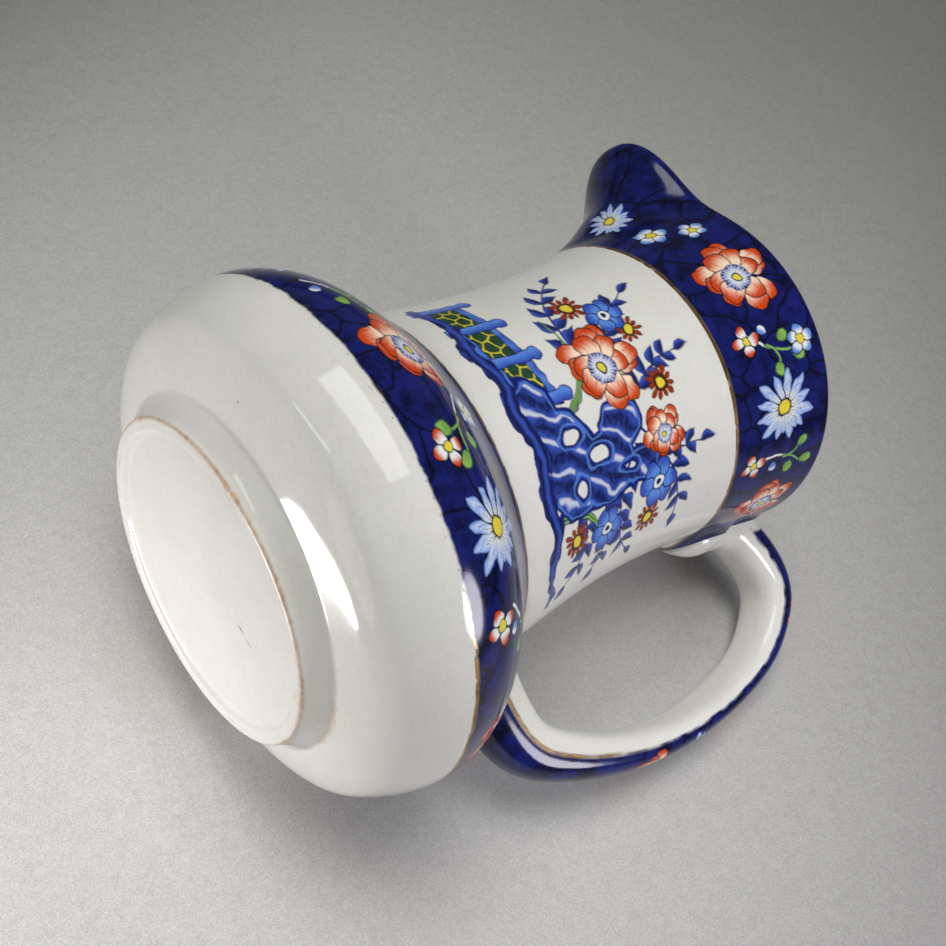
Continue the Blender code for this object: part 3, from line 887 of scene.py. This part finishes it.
def belly_pattern(paint, form):
    """Peonies, daisies, blossoms and sprigs strewn round the belly band."""
    strew(
        paint,
        form,
        daisies=(
            (-84, 38, 9.6, 8),
            (-163, 37, 8.5, 20),
            (8, 42, 9.0, 12),
            (76, 39, 9.5, 0),
            (142, 41, 8.5, 25),
        ),
        peonies=(
            (-124, 40, 10.5, 20),
            (-34, 38, 10.5, 60),
            (42, 38, 10.5, 14),
            (108, 38, 10.0, 40),
            (172, 40, 9.5, 20),
        ),
        blossoms=(
            (-146, 45, 4.0, 0, 0),
            (-108, 47, 4.2, 30, 1),
            (-101, 33, 4.2, 10, 0),
            (-66, 33, 4.4, 14, 0),
            (-55, 47, 4.2, 50, 1),
            (-12, 32, 4.0, 10, 0),
            (24, 46, 3.8, 0, 0),
            (60, 47, 4.0, 25, 1),
            (92, 31, 4.0, 12, 0),
            (126, 46, 4.0, 12, 0),
            (156, 32, 3.8, 35, 1),
        ),
        sprigs=(
            (-141, 35, 8.5, 25, 1),
            (-104, 41, 8.5, -28, -1),
            (-60, 40, 8.5, 20, 1),
            (-10, 40, 8.0, -25, 1),
            (24, 36, 8.0, 20, -1),
            (91, 42, 8.5, -15, 1),
            (124, 36, 8.5, 22, -1),
        ),
    )


def collar_pattern(paint, form):
    """Peonies, daisies, blossoms and sprigs strewn round the collar, on both sides of the handle."""
    strew(
        paint,
        form,
        daisies=((-71, 144, 9.6, 10), (-170, 141, 6.0, 0), (50, 145, 9.2, 0), (150, 146, 8.0, 12)),
        peonies=((-118, 145.5, 11.0, 12), (-30, 146, 9.5, 30), (84, 145, 11.0, 0), (24, 147, 8.0, 0)),
        blossoms=(
            (-149, 139, 4.6, 10, 1),
            (-141, 148, 3.8, 40, 1),
            (-96, 137, 4.2, 0, 0),
            (-90, 153, 4.2, 30, 1),
            (-52, 135, 4.0, 20, 0),
            (66, 136, 4.0, 0, 0),
            (104, 153, 4.2, 0, 1),
            (133, 137, 4.0, 10, 0),
            (168, 138, 3.8, 0, 0),
        ),
        sprigs=(
            (-93, 145, 8.5, 62, -1),
            (-50, 146, 8.0, 70, 1),
            (66, 146, 8.0, 110, -1),
            (108, 141, 8.5, 60, 1),
            (130, 147, 8.0, 100, 1),
        ),
    )


def rock(paint, cell):
    """A pierced garden rock, washed in blues: ellipses heaped up, with others cut out of them."""
    _, x, y = cell

    def lump(across, up, wide, high):
        return (1 - np.hypot((x - across) / wide, (y - up) / high)) * min(wide, high)

    heap = [(9, -15, 13, 9), (14, -5, 8.5, 10), (6, 3, 6, 7), (17, 7, 4.5, 6.5), (-3, -19, 9, 6)]
    holes = [(10, -6, 2.2, 3.4), (15.5, -14, 2.8, 1.9), (4, -13, 1.6, 2.6), (16, 3, 1.2, 2.0)]
    distance = np.max([lump(*each) for each in heap], axis=0)
    distance = np.minimum(distance, -np.max([lump(*each) for each in holes], axis=0))
    distance = distance + 1.2 * (mottle(x, y, 2.6, 71) - 0.5)
    ridge = np.sin(0.9 * x - 0.5 * y + 3.0 * mottle(x, y, 4.0, 73))
    tone = np.clip(0.5 + 0.45 * ridge + 0.6 * (mottle(x, y, 0.8, 74) - 0.5), 0, 1)
    paint.lay(cell, inside(distance), blend(ink("ink_blue"), ink("blue"), tone))
    light = inside(ridge - 0.86, 0.3) * inside(distance - 1.2)
    paint.lay(cell, light * 0.75, ink("white"))
    paint.lay(cell, inside(0.3 - np.abs(distance)), ink("cobalt"))
    paint.lay(cell, inside(0.2 - np.abs(distance - 0.8)) * 0.7, ink("pale_blue"))


def fence(paint, cell):
    """A low fence of posts and rails about dark green panels that a crooked yellow net crosses."""
    _, x, y = cell
    navy, blue, pale = ink("ink_blue"), ink("blue"), ink("pale_blue")
    base = -21 + 0.09 * x
    panel = np.minimum(np.minimum(x + 40, -5 - x), np.minimum(y - base, base + 9.5 - y))
    paint.lay(cell, inside(panel), ink("green_deep") * (0.55 + 0.5 * mottle(x, y, 0.9, 75))[:, None])
    paint.lay(cell, inside(0.17 - border(x, y, 3.6)) * inside(panel), ink("yellow"))
    for rail in (0.0, 9.5):
        bar = np.minimum(np.minimum(x + 41, -4 - x), 0.95 - np.abs(y - base - rail))
        paint.lay(cell, inside(bar + 0.3), navy)
        paint.lay(cell, inside(bar), blend(blue, pale, mottle(x, y, 1.7, 83)))
    for post in (-40, -28.5, -17, -5.5):
        level = -21 + 0.09 * post
        bar = np.minimum(1.25 - np.abs(x - post), np.minimum(y - level + 2.5, level + 11.5 - y))
        bar = np.maximum(bar, 1.7 - np.hypot(x - post, y - level - 13))
        paint.lay(cell, inside(bar + 0.3), navy)
        paint.lay(cell, inside(bar), blend(pale, blue, np.clip(0.5 + (x - post) / 2.0, 0, 1)))


def garden_picture(paint, cell):
    """Two peonies and smaller flowers by a pierced rock and a low fence, about the picture's middle."""
    blue, pale, white, navy = ink("blue"), ink("pale_blue"), ink("white"), ink("ink_blue")
    cobalt, green, deep_green = ink("cobalt"), ink("green"), ink("green_deep")
    orange, brown, yellow = ink("orange"), ink("ink_brown"), ink("yellow")
    _, x, y = cell
    for points, pairs, size in (
        (bow((12, 6), (36, 19), 5), 5, 7.0),
        (bow((14, 4), (40, 3), -5), 5, 6.6),
        (bow((8, 8), (18, 27), -3), 4, 6.2),
        (bow((2, 10), (-5, 27), 2), 4, 6.0),
        (bow((-6, 8), (-24, 25), 3), 4, 6.6),
        (bow((-10, 2), (-38, 13), 5), 5, 6.8),
        (bow((16, -16), (39, -19), 4), 4, 6.2),
        (bow((20, -8), (40, -9), 3), 4, 5.8),
    ):
        twig(paint, cell, points, pairs, size, 1.6, (navy, blue, navy, cobalt), 0.8)
    for start, end, sag in (((2, -20), (-25, -1), -9), ((0, -20), (-14, 0), -5), ((20, -22), (37, -8), 6)):
        points = bow(start, end, sag)
        stroke(paint, cell, points, 2.6, navy, taper=0.8)
        stroke(paint, cell, points, 1.8, green, taper=0.85)
        stroke(paint, cell, points, 0.5, deep_green, taper=0.9)
    fence(paint, cell)
    rock(paint, cell)
    bank = -24.4 + 0.8 * np.sin(x * 0.35)
    ground = 1.9 - np.abs(y - bank) - 1.9 * np.clip(np.abs(x) / 34 - 0.6, 0, 2)
    ground = ground + 1.6 * (mottle(x * 0.4, y, 1.2, 81) - 0.5)
    wash = np.clip(0.35 + 0.5 * np.sin(2.2 * (y - bank) + 2.0 * mottle(x, y, 3.0, 85)), 0, 1)
    paint.lay(cell, inside(ground), blend(navy, blue, wash))
    paint.lay(cell, inside(0.2 - np.abs(ground)), cobalt)
    for x, y, size in ((-26, 9, 4.6), (1, 19, 4.4), (33, 9, 4.4), (27, -17, 4.2), (-14, 19, 3.8)):
        flower = moved(cell, x, y, 10, size * 1.3)
        rays(paint, flower, size, size * 0.3, 11, 0, size * 0.17, brown, orange * 0.75, brown)
        disc(paint, flower, size * 0.5, brown)
        disc(paint, flower, size * 0.3, yellow)
    for x, y, size in ((24, 12, 6.4), (29, -6, 5.6), (-20, 16, 5.4)):
        flower = moved(cell, x, y, 30, size * 1.3)
        blossom(paint, flower, size, blue, pale, navy, white, 6)
        disc(paint, flower, size * 0.12, navy)
    peony(paint, moved(cell, -8.5, 6, 0, 15), 11.0, brown)
    peony(paint, moved(cell, 12, 15.5, 40, 9), 6.6, brown)


def waist_pattern(paint, form):
    """The same picture on both sides of the waist, in the middle of the white."""
    for degrees in PICTURE_AZIMUTHS:
        garden_picture(paint, paint.spot(on_wall(form, degrees, PICTURE_HEIGHT), PICTURE_REACH))


def handle_pattern(paint):
    """Peonies, daisies and sprigs down the middle of the handle's blue face."""
    for along, side, size in ((40, 2.2, 7.0), (72, -2.2, 7.0), (106, 2.2, 7.0)):
        peony(paint, paint.spot((side, along), size * 1.3, along), size, ink("vein"))
    for along, side, size in ((56, -2.6, 5.4), (90, 2.8, 5.4), (123, -2.4, 5.6)):
        daisy(paint, paint.spot((side, along), size * 1.3, along), size)
    for along, side, lean in ((26, -1.0, 80), (56, 4.2, 95), (90, -4.0, 85)):
        sprig(paint, paint.spot((side, along), 8, lean), 4.6, 1)


def foot_marks(paint, form):
    """Three small brown brush strokes on the recessed underside."""
    near = np.flatnonzero(paint.along < form.marks["ring"] / MM)
    radius, turn = paint.along[near], paint.across[near]
    cell = near, radius * np.cos(turn), radius * np.sin(turn)
    for x, y in ((8.6, -10.4), (10.9, -9.2), (13.2, -10.2)):
        stroke(paint, cell, bow((x - 0.8, y), (x + 0.8, y + 0.2), 0.1), 0.5, ink("gold_worn"), 0.8)


def add_node(tree, kind, inputs=None, **settings):
    """A shader node with its settings; an input is a value or another node's output."""
    node = tree.nodes.new("ShaderNode" + kind)
    for name, value in settings.items():
        setattr(node, name, value)
    for name, value in (inputs or {}).items():
        if isinstance(value, bpy.types.NodeSocket):
            tree.links.new(value, node.inputs[name])
        else:
            node.inputs[name].default_value = value
    return node


def mixed(tree, factor, first, second, blend_type="MIX"):
    """The colour between two, each a colour or an output."""
    node = add_node(tree, "Mix", data_type="RGBA", blend_type=blend_type)
    for index, value in ((0, factor), (6, first), (7, second)):
        if isinstance(value, bpy.types.NodeSocket):
            tree.links.new(value, node.inputs[index])
        else:
            node.inputs[index].default_value = (*value, 1) if index else value
    return node.outputs[2]


def ramp(tree, value, low, high, start=0.0, end=1.0):
    """The value's way from low to high, as a number from start to end."""
    inputs = {"Value": value, "From Min": low, "From Max": high, "To Min": start, "To Max": end}
    return add_node(tree, "MapRange", inputs, interpolation_type="SMOOTHSTEP").outputs["Result"]


def noise(tree, place, scale, detail, roughness=0.5):
    """The outputs of a cloudy pattern: its shade is Fac."""
    inputs = {"Vector": place, "Scale": scale, "Detail": detail, "Roughness": roughness}
    return add_node(tree, "TexNoise", inputs).outputs


def shaded(tree, colour, clouds, low, high, light, dark):
    """The colour multiplied by a shade from light to dark over the clouds' way from low to high."""
    return mixed(tree, 1.0, colour, ramp(tree, clouds["Fac"], low, high, light, dark), "MULTIPLY")


def math_node(tree, operation, *inputs):
    return add_node(tree, "Math", dict(enumerate(inputs)), operation=operation).outputs[0]


def attribute(tree, name):
    return add_node(tree, "Attribute", attribute_name=name).outputs


def blank_material(name):
    """A new material with an empty tree, and the place in the object for its patterns."""
    material = bpy.data.materials.new(name)
    material.use_nodes = True
    tree = material.node_tree
    tree.nodes.clear()
    return material, tree, add_node(tree, "TexCoord").outputs["Object"]


def glaze_material():
    """Warm white glaze, netted cobalt, printed inks, burnished gold and bare clay, by attribute."""
    made = bpy.data.materials.get("glaze")
    if made:
        return made
    colours = bpy.context.scene.jug_colours
    material, tree, place = blank_material("glaze")

    # White with dust and a few pits
    cloud = ramp(tree, noise(tree, place, 45.0, 3.0, 0.6)["Fac"], 0.35, 0.7)
    white = mixed(tree, cloud, colours.glaze, colours.glaze_shade)
    white = shaded(tree, white, noise(tree, place, 1100.0, 2.0), 0.3, 0.7, 0.975, 1.02)
    pits = add_node(tree, "TexVoronoi", {"Vector": place, "Scale": 210.0, "Randomness": 1.0})
    chance = add_node(tree, "SeparateColor", {"Color": pits.outputs["Color"]})
    pit = ramp(tree, pits.outputs["Distance"], 0.075, 0.035)
    few = ramp(tree, chance.outputs["Red"], 0.955, 0.97)
    white = mixed(tree, math_node(tree, "MULTIPLY", pit, few), white, colours.speck)

    # Cobalt that pools, with its crooked dark net
    warp = noise(tree, place, 160.0, 2.0)["Color"]
    bent = add_node(tree, "VectorMath", {0: warp, 1: (0.004, 0.004, 0.004)}, operation="MULTIPLY")
    bent = add_node(tree, "VectorMath", {0: place, 1: bent.outputs[0]}, operation="ADD").outputs[0]
    net = add_node(tree, "TexVoronoi", {"Vector": bent, "Scale": 78.0}, feature="DISTANCE_TO_EDGE")
    pool = ramp(tree, noise(tree, place, 180.0, 6.0, 0.75)["Fac"], 0.38, 0.66)
    blue = mixed(tree, pool, colours.cobalt, colours.cobalt_deep)
    blue = mixed(tree, ramp(tree, net.outputs["Distance"], 0.045, 0.012, 0.0, 0.85), blue, colours.vein)

    # The layers, one over another
    cobalt, gold, clay = [attribute(tree, name)["Fac"] for name in ("cobalt", "gold", "clay")]
    printed = attribute(tree, "print")
    base = mixed(tree, cobalt, white, blue)
    base = mixed(tree, printed["Alpha"], base, (0, 0, 0))
    base = mixed(tree, 1.0, base, printed["Color"], "ADD")
    rub = ramp(tree, noise(tree, place, 420.0, 3.0)["Fac"], 0.45, 0.85)
    base = mixed(tree, gold, base, mixed(tree, rub, colours.gold, colours.gold_worn))
    grit = ramp(tree, noise(tree, place, 700.0, 4.0)["Fac"], 0.35, 0.7)
    base = mixed(tree, clay, base, mixed(tree, grit, colours.clay, colours.clay_deep))

    # Gloss, and the relief of the enamels
    rough = 0.07
    for share, more in ((cobalt, 0.05), (gold, 0.2), (clay, 0.6)):
        rough = math_node(tree, "MULTIPLY_ADD", share, more, rough)
    wave = noise(tree, place, 90.0, 2.0)["Fac"]
    height = math_node(tree, "MULTIPLY_ADD", printed["Alpha"], 0.25, wave)
    bump = add_node(tree, "Bump", {"Height": height, "Strength": 0.18, "Distance": 0.0004})
    inputs = {"Base Color": base, "Roughness": rough, "IOR": 1.52, "Normal": bump.outputs[0]}
    inputs["Metallic"] = ramp(tree, gold, 0.2, 0.9, 0.0, 0.9)
    shader = add_node(tree, "BsdfPrincipled", inputs)
    add_node(tree, "OutputMaterial", {"Surface": shader.outputs[0]})
    return material


class JUG_OT_foot(bpy.types.Operator):
    """Adds the recessed underside, the foot ring and the white lower belly"""

    bl_idname = "jug.foot"
    bl_label = "Foot and lower belly"

    def execute(self, context):
        form = shape()
        near_ring = form.marks["ring"] - 3 * MM
        past_edge = form.marks["edge"] + 2 * MM
        past_foot = form.marks["foot"] + 3 * MM
        along = stretches(
            (0, near_ring, PLAIN * MM),
            (near_ring, past_edge, 0.3 * MM),
            (past_edge, past_foot, 0.4 * MM),
            (past_foot, form.length_at(BELLY_START * MM), 0.8 * MM),
        )
        degrees = np.linspace(-180, 180, 501)
        skin_patch("foot_and_lower_belly", along, degrees, foot_marks, ring=True, first_pole=(0, 0, -1))
        return {"FINISHED"}


class JUG_OT_belly(bpy.types.Operator):
    """Adds the cobalt belly band with its flowers and gold lines"""

    bl_idname = "jug.belly"
    bl_label = "Belly band"

    def execute(self, context):
        form = shape()
        low, high = form.length_at(BELLY_START * MM), form.length_at(WAIST_START * MM)
        fine = stretches((low, high, FINE * MM))
        coarse = stretches((low, high, COARSE * MM))
        skin_patch("belly_band_front", fine, np.linspace(*FRONT, 681), belly_pattern)
        skin_patch("belly_band_back", coarse, np.linspace(*BACK, 341), belly_pattern)
        return {"FINISHED"}


class JUG_OT_waist(bpy.types.Operator):
    """Adds the white waist with its picture on both sides"""

    bl_idname = "jug.waist"
    bl_label = "Waist"

    def execute(self, context):
        form = shape()
        low, high = form.length_at(WAIST_START * MM), form.length_at(COLLAR_START * MM)
        near, far = [form.length_at(height * MM) for height in PICTURE_ENDS]
        rows = stretches((low, near, 0.6 * MM), (near, far, FINE * MM), (far, high, 0.6 * MM))
        columns = stretches((-180, -156, 1.0), (-156, -38, 0.36), (-38, 0, 0.8))
        skin_patch("waist_front", rows, columns, waist_pattern)
        rows = stretches((low, high, COARSE * MM))
        columns = stretches((0, 25, 0.8), (25, 147, 0.7), (147, 180, 1.2))
        skin_patch("waist_back", rows, columns, waist_pattern)
        return {"FINISHED"}


class JUG_OT_collar(bpy.types.Operator):
    """Adds the cobalt collar with its spout, flowers and lip"""

    bl_idname = "jug.collar"
    bl_label = "Collar and spout"

    def execute(self, context):
        form = shape()
        low, high = form.length_at(COLLAR_START * MM), form.marks["inside"] + LIP_REACH * MM
        fine = stretches((low, high, 0.3 * MM))
        coarse = stretches((low, high, COARSE * MM))
        skin_patch("collar_front", fine, np.linspace(*FRONT, 561), collar_pattern)
        skin_patch("collar_back", coarse, np.linspace(*BACK, 321), collar_pattern)
        return {"FINISHED"}


class JUG_OT_inside(bpy.types.Operator):
    """Adds the plain white inside"""

    bl_idname = "jug.inside"
    bl_label = "Inside"

    def execute(self, context):
        form = shape()
        along = stretches((form.marks["inside"] + LIP_REACH * MM, form.marks["end"], PLAIN * MM))
        degrees = stretches((-180, -140, 1.0), (-140, 140, 2.2), (140, 180, 1.0))
        skin_patch("inside", along, degrees, ring=True, last_pole=(0, 0, 1))
        return {"FINISHED"}


class JUG_OT_handle(bpy.types.Operator):
    """Adds the strap handle, blue outside and white inside, and the knuckle under its upper root"""

    bl_idname = "jug.handle"
    bl_label = "Handle"

    def execute(self, context):
        form = shape()
        add_strap(form)
        add_knuckle(form)
        return {"FINISHED"}


def add_strap(form):
    """The strap with the clay rounded out to wall and knuckle, and its roots drawn up inside the wall."""
    sizes = form.sizes
    place = np.linspace(0, form.last, 430)
    around = -np.linspace(-np.pi, np.pi, 111)
    points = form.strap(place[:, None], around[None, :])
    rise = round_corner(form.gap_to_wall(points), sizes.fillet)
    rise = np.maximum(rise, round_corner(form.gap_to_knuckle(points), sizes.knuckle_fillet))
    points = points + grid_normals(points, closed=True) * rise[..., None]
    sunk = form.gap_to_wall(points) < -sizes.wall / 2
    wanted = form.sunk(points[..., 2], sizes.wall / 2)
    scale = np.where(sunk, wanted / np.maximum(np.hypot(points[..., 0], points[..., 1]), 1e-6), 1)
    points = points * np.stack((scale, scale, np.ones_like(scale)), -1)

    steps = np.linalg.norm(np.diff(form.centre(place)[0], axis=0), axis=1)
    run = np.concatenate([[0], np.cumsum(steps)])[:, None] / MM
    rim = np.linalg.norm(np.diff(points, axis=1), axis=2).cumsum(axis=1)
    rim = np.concatenate([np.zeros((len(place), 1)), rim], axis=1)
    side = (rim - rim[:, 55:56]) / MM
    paint = Paint(side, run, lambda along: 1.0)
    reach = (rim[:, -1:] / MM / 4 + 0.4 + 0 * side).ravel()
    dress_strap(paint, reach, form.gap_to_wall(points).ravel() / MM, run[-1, 0])
    make_piece("handle", points, grid_normals(points, closed=True), paint, ring=True)


def dress_strap(paint, reach, gap, total):
    """Blue to this reach each side of the strap's outer middle, gold along both edges, white by the wall."""
    side, run = paint.across, paint.along
    fine = mottle(side, run, 0.7, 41) - 0.5
    rough = mottle(side, run, 2.4, 43) - 0.5
    slow = mottle(side * 0.2, run, 8.0, 47) - 0.5
    ends = gap - np.where(run < total / 2, 4.0, 0.8)
    edge = np.minimum(reach + 0.6 * rough + 0.1 * fine - np.abs(side), ends + 0.6 * rough)
    paint.cobalt = inside(edge, 0.5)
    line = np.abs(np.abs(side) - reach - 0.1 * slow)
    width = 0.46 + 0.2 * slow
    keep = 0.6 + 0.4 * smooth_step((mottle(side, run, 1.8, 53) - 0.25) / 0.3)
    keep = keep * np.maximum(smooth_step((18 - run) / 8), smooth_step((run - total + 74) / 20))
    paint.gold = inside(width - line, 0.35) * keep * inside(ends + 1.0, 0.6)
    handle_pattern(paint)


def add_knuckle(form):
    """A cap of the knuckle's ellipsoid, with the clay rounded out to the wall and the strap."""
    sizes = form.sizes
    share = np.linspace(0, 1, 60)[:, None] * math.radians(105)
    turn = -np.linspace(0, 2 * np.pi, 81)[None, :]
    x = form.body(form.knuckle_height)[0] + sizes.knuckle_reach * np.cos(share) + 0 * turn
    y = sizes.knuckle_width * np.sin(share) * np.cos(turn)
    z = form.knuckle_height + sizes.knuckle_height * np.sin(share) * np.sin(turn)
    points = np.stack((x, y, z), -1)
    normals = grid_normals(points, closed=True)
    normals[0] = (1, 0, 0)
    gap = np.minimum(form.gap_to_wall(points), form.gap_to_strap(points))
    points = points + normals * round_corner(gap, sizes.knuckle_fillet)[..., None]
    paint = Paint(turn + 0 * share, share + 0 * turn, lambda along: 1.0)
    normals = grid_normals(points, closed=True)
    make_piece("handle_knuckle", points, normals, paint, ring=True, first_pole=(1, 0, 0))


def stage_material(name, light, dark, glow):
    """Matte mottled grey with painted light falloff, paler towards the foot's side and darker far out from a
    band through the jug, clear from behind and to shadows.

    The glow is light of its own, for a floor that no lamp faces.
    """
    material, tree, place = blank_material(name)

    def along(way):
        """How far places lie along a way over the table."""
        return add_node(tree, "VectorMath", {0: place, 1: way}, operation="DOT_PRODUCT").outputs["Value"]

    # Painted light falloff: from dark, a painted shade, on the far side to light towards the foot's side
    base = mixed(tree, ramp(tree, along((0.438, -0.134, -0.889)), -0.5, 0.12), dark, light)
    # Painted light falloff: darker the further a place lies from a band through the jug
    square = math_node(tree, "POWER", along((0.764, -0.480, 0.431)), 2.0)
    base = mixed(tree, 1.0, base, ramp(tree, square, 0.0, 0.055, 1.14, 0.58), "MULTIPLY")
    base = shaded(tree, base, noise(tree, place, 320.0, 5.0, 0.7), 0.35, 0.7, 1.02, 0.94)
    base = shaded(tree, base, noise(tree, place, 2600.0, 3.0), 0.3, 0.7, 1.12, 0.86)
    cloth = add_node(tree, "BsdfDiffuse", {"Color": base}).outputs[0]
    lit = add_node(tree, "Emission", {"Color": base, "Strength": glow}).outputs[0]
    cloth = add_node(tree, "AddShader", {0: cloth, 1: lit}).outputs[0]
    behind = add_node(tree, "NewGeometry").outputs["Backfacing"]
    shadow = add_node(tree, "LightPath").outputs["Is Shadow Ray"]
    either = math_node(tree, "MAXIMUM", behind, shadow)
    clear = add_node(tree, "BsdfTransparent").outputs[0]
    both = add_node(tree, "MixShader", {0: either, 1: cloth, 2: clear})
    add_node(tree, "OutputMaterial", {"Surface": both.outputs[0]})
    return material


def plane(name, centre, normal, half, material):
    """A large square that faces along its normal."""
    turn = Vector(normal).to_track_quat("Z", "Y").to_matrix()
    corners = ((-half, -half, 0), (half, -half, 0), (half, half, 0), (-half, half, 0))
    corners = [Vector(centre) + turn @ Vector(corner) for corner in corners]
    mesh = bpy.data.meshes.new(name)
    mesh.from_pydata(corners, [], [(0, 1, 2, 3)])
    mesh.materials.append(material)
    made = bpy.data.objects.new(name, mesh)
    bpy.context.scene.collection.objects.link(made)
    return made


def soft_light(name, target, direction, distance, size, power, colour, outline="RECTANGLE"):
    """An area light that hangs in a direction from a target and faces it."""
    data = bpy.data.lights.new(name, "AREA")
    data.shape = outline
    data.size, data.size_y = size
    data.energy = power
    data.color = colour
    made = bpy.data.objects.new(name, data)
    away = Vector(direction).normalized()
    made.location = Vector(target) + away * distance
    made.rotation_euler = away.to_track_quat("Z", "Y").to_euler()
    bpy.context.scene.collection.objects.link(made)
    return made


def add_lights():
    """A bright card by the foot with a faint veil about it, a near window, far windows and soft fills."""
    white, rose, lilac, mirror = (1, 1, 1), (1.0, 0.96, 0.97), (0.97, 0.94, 1.0), (0.98, 1.0, 0.93)
    soft_light("card", FOOT, (0.165, 0.41, -0.90), 0.162, (0.094, 0.036), 0.25, rose, "ELLIPSE")
    veil = soft_light("veil", FOOT, (0.145, -0.1, -0.98), 0.24, (0.2, 0.13), 0.06, white, "ELLIPSE")
    soft_light("near_window", BELLY, (0.66, -0.67, 0.34), 0.41, (0.19, 0.14), 0.74, lilac, "ELLIPSE")
    soft_light("window", BELLY, (-0.60, -0.79, -0.06), 1.2, (1.1, 0.42), 5.2, mirror)
    sky = soft_light("sky", BELLY, (-0.62, -0.77, -0.10), 1.2, (0.6, 0.6), 6.7, (1, 0.99, 1))
    back = soft_light("back_fill", BELLY, (0.5, 0.75, 0.45), 1.5, (1.2, 1.2), 6.0, white)
    low = soft_light("low_window", BELLY, (-0.62, -0.49, -0.60), 1.2, (0.5, 0.1), 0.5, mirror)
    for light in (sky, back):
        light.visible_glossy = False
    for light in (veil, low):
        light.visible_diffuse = False


def add_camera(scene, lens, roll):
    """A camera that looks up at the jug past its foot, turned about its view by the roll."""
    data = bpy.data.cameras.new("camera")
    data.lens = lens
    data.sensor_width = 36
    data.clip_start, data.clip_end = 0.01, 20
    camera = bpy.data.objects.new("camera", data)
    place, target = Vector(CAMERA_PLACE), Vector(CAMERA_TARGET)
    forward = (target - place).normalized()
    level = forward.cross(Vector((0, 0, 1))).normalized()
    above = level.cross(forward)
    right = level * math.cos(roll) + above * math.sin(roll)
    up = above * math.cos(roll) - level * math.sin(roll)
    turn = Matrix((right, up, -forward)).transposed().to_4x4()
    camera.matrix_world = Matrix.Translation(place) @ turn
    scene.collection.objects.link(camera)
    scene.camera = camera


class JUG_OT_stage(bpy.types.Operator):
    """Adds the table the jug lies on, the camera and the soft lights"""

    bl_idname = "jug.stage"
    bl_label = "Table, camera and lights"

    def execute(self, context):
        scene = context.scene
        stage = scene.jug_stage
        facing = Vector(TABLE_NORMAL).normalized()
        # The table's colour and its painted shade, the two ends of its painted light falloff
        colour, shade = tuple(stage.table_colour), tuple(stage.table_painted_shade)
        material = stage_material("table", colour, shade, 0.0)
        plane("table", facing * TABLE_GAP * MM, -facing, TABLE_HALF, material)
        # A floor for views of the upright jug, seen by the camera alone
        material = stage_material("floor", colour, colour, stage.floor_glow)
        ground = plane("ground", (0, 0, -0.4 * MM), (0, 0, 1), TABLE_HALF, material)
        ground.visible_diffuse = ground.visible_glossy = False
        ground.visible_transmission = ground.visible_shadow = False
        add_lights()
        add_camera(scene, stage.lens, stage.roll)

        world = bpy.data.worlds.new("studio")
        world.use_nodes = True
        back = world.node_tree.nodes["Background"]
        back.inputs["Color"].default_value = (0.80, 0.80, 0.80, 1)
        back.inputs["Strength"].default_value = 0.12
        scene.world = world
        scene.view_settings.view_transform = "Standard"
        scene.view_settings.look = "None"
        return {"FINISHED"}


class JUG_PT_panel(bpy.types.Panel):
    """Lists the pieces of the jug"""

    bl_label = "Glazed jug"
    bl_idname = "JUG_PT_panel"
    bl_space_type = "VIEW_3D"
    bl_region_type = "UI"
    bl_category = "Jug"

    def draw(self, context):
        for operator in OPERATORS:
            self.layout.operator(operator.bl_idname)
        for group in (context.scene.jug_sizes, context.scene.jug_colours, context.scene.jug_stage):
            box = self.layout.box()
            for name in group.__annotations__:
                box.prop(group, name)


GROUPS = {"jug_sizes": JugSizes, "jug_colours": JugColours, "jug_stage": StageSettings}
OPERATORS = (
    JUG_OT_foot,
    JUG_OT_belly,
    JUG_OT_waist,
    JUG_OT_collar,
    JUG_OT_inside,
    JUG_OT_handle,
    JUG_OT_stage,
)


def register():
    for group in (*GROUPS.values(), *OPERATORS, JUG_PT_panel):
        bpy.utils.register_class(group)
    for name, group in GROUPS.items():
        setattr(bpy.types.Scene, name, bpy.props.PointerProperty(type=group))


def unregister():
    for name in GROUPS:
        delattr(bpy.types.Scene, name)
    for group in reversed((*GROUPS.values(), *OPERATORS, JUG_PT_panel)):
        bpy.utils.unregister_class(group)


def main():
    """Makes every piece in order."""
    register()
    for operator in OPERATORS:
        name = operator.bl_idname.split(".")[1]
        getattr(bpy.ops.jug, name)()


if __name__ == "__main__":
    main()
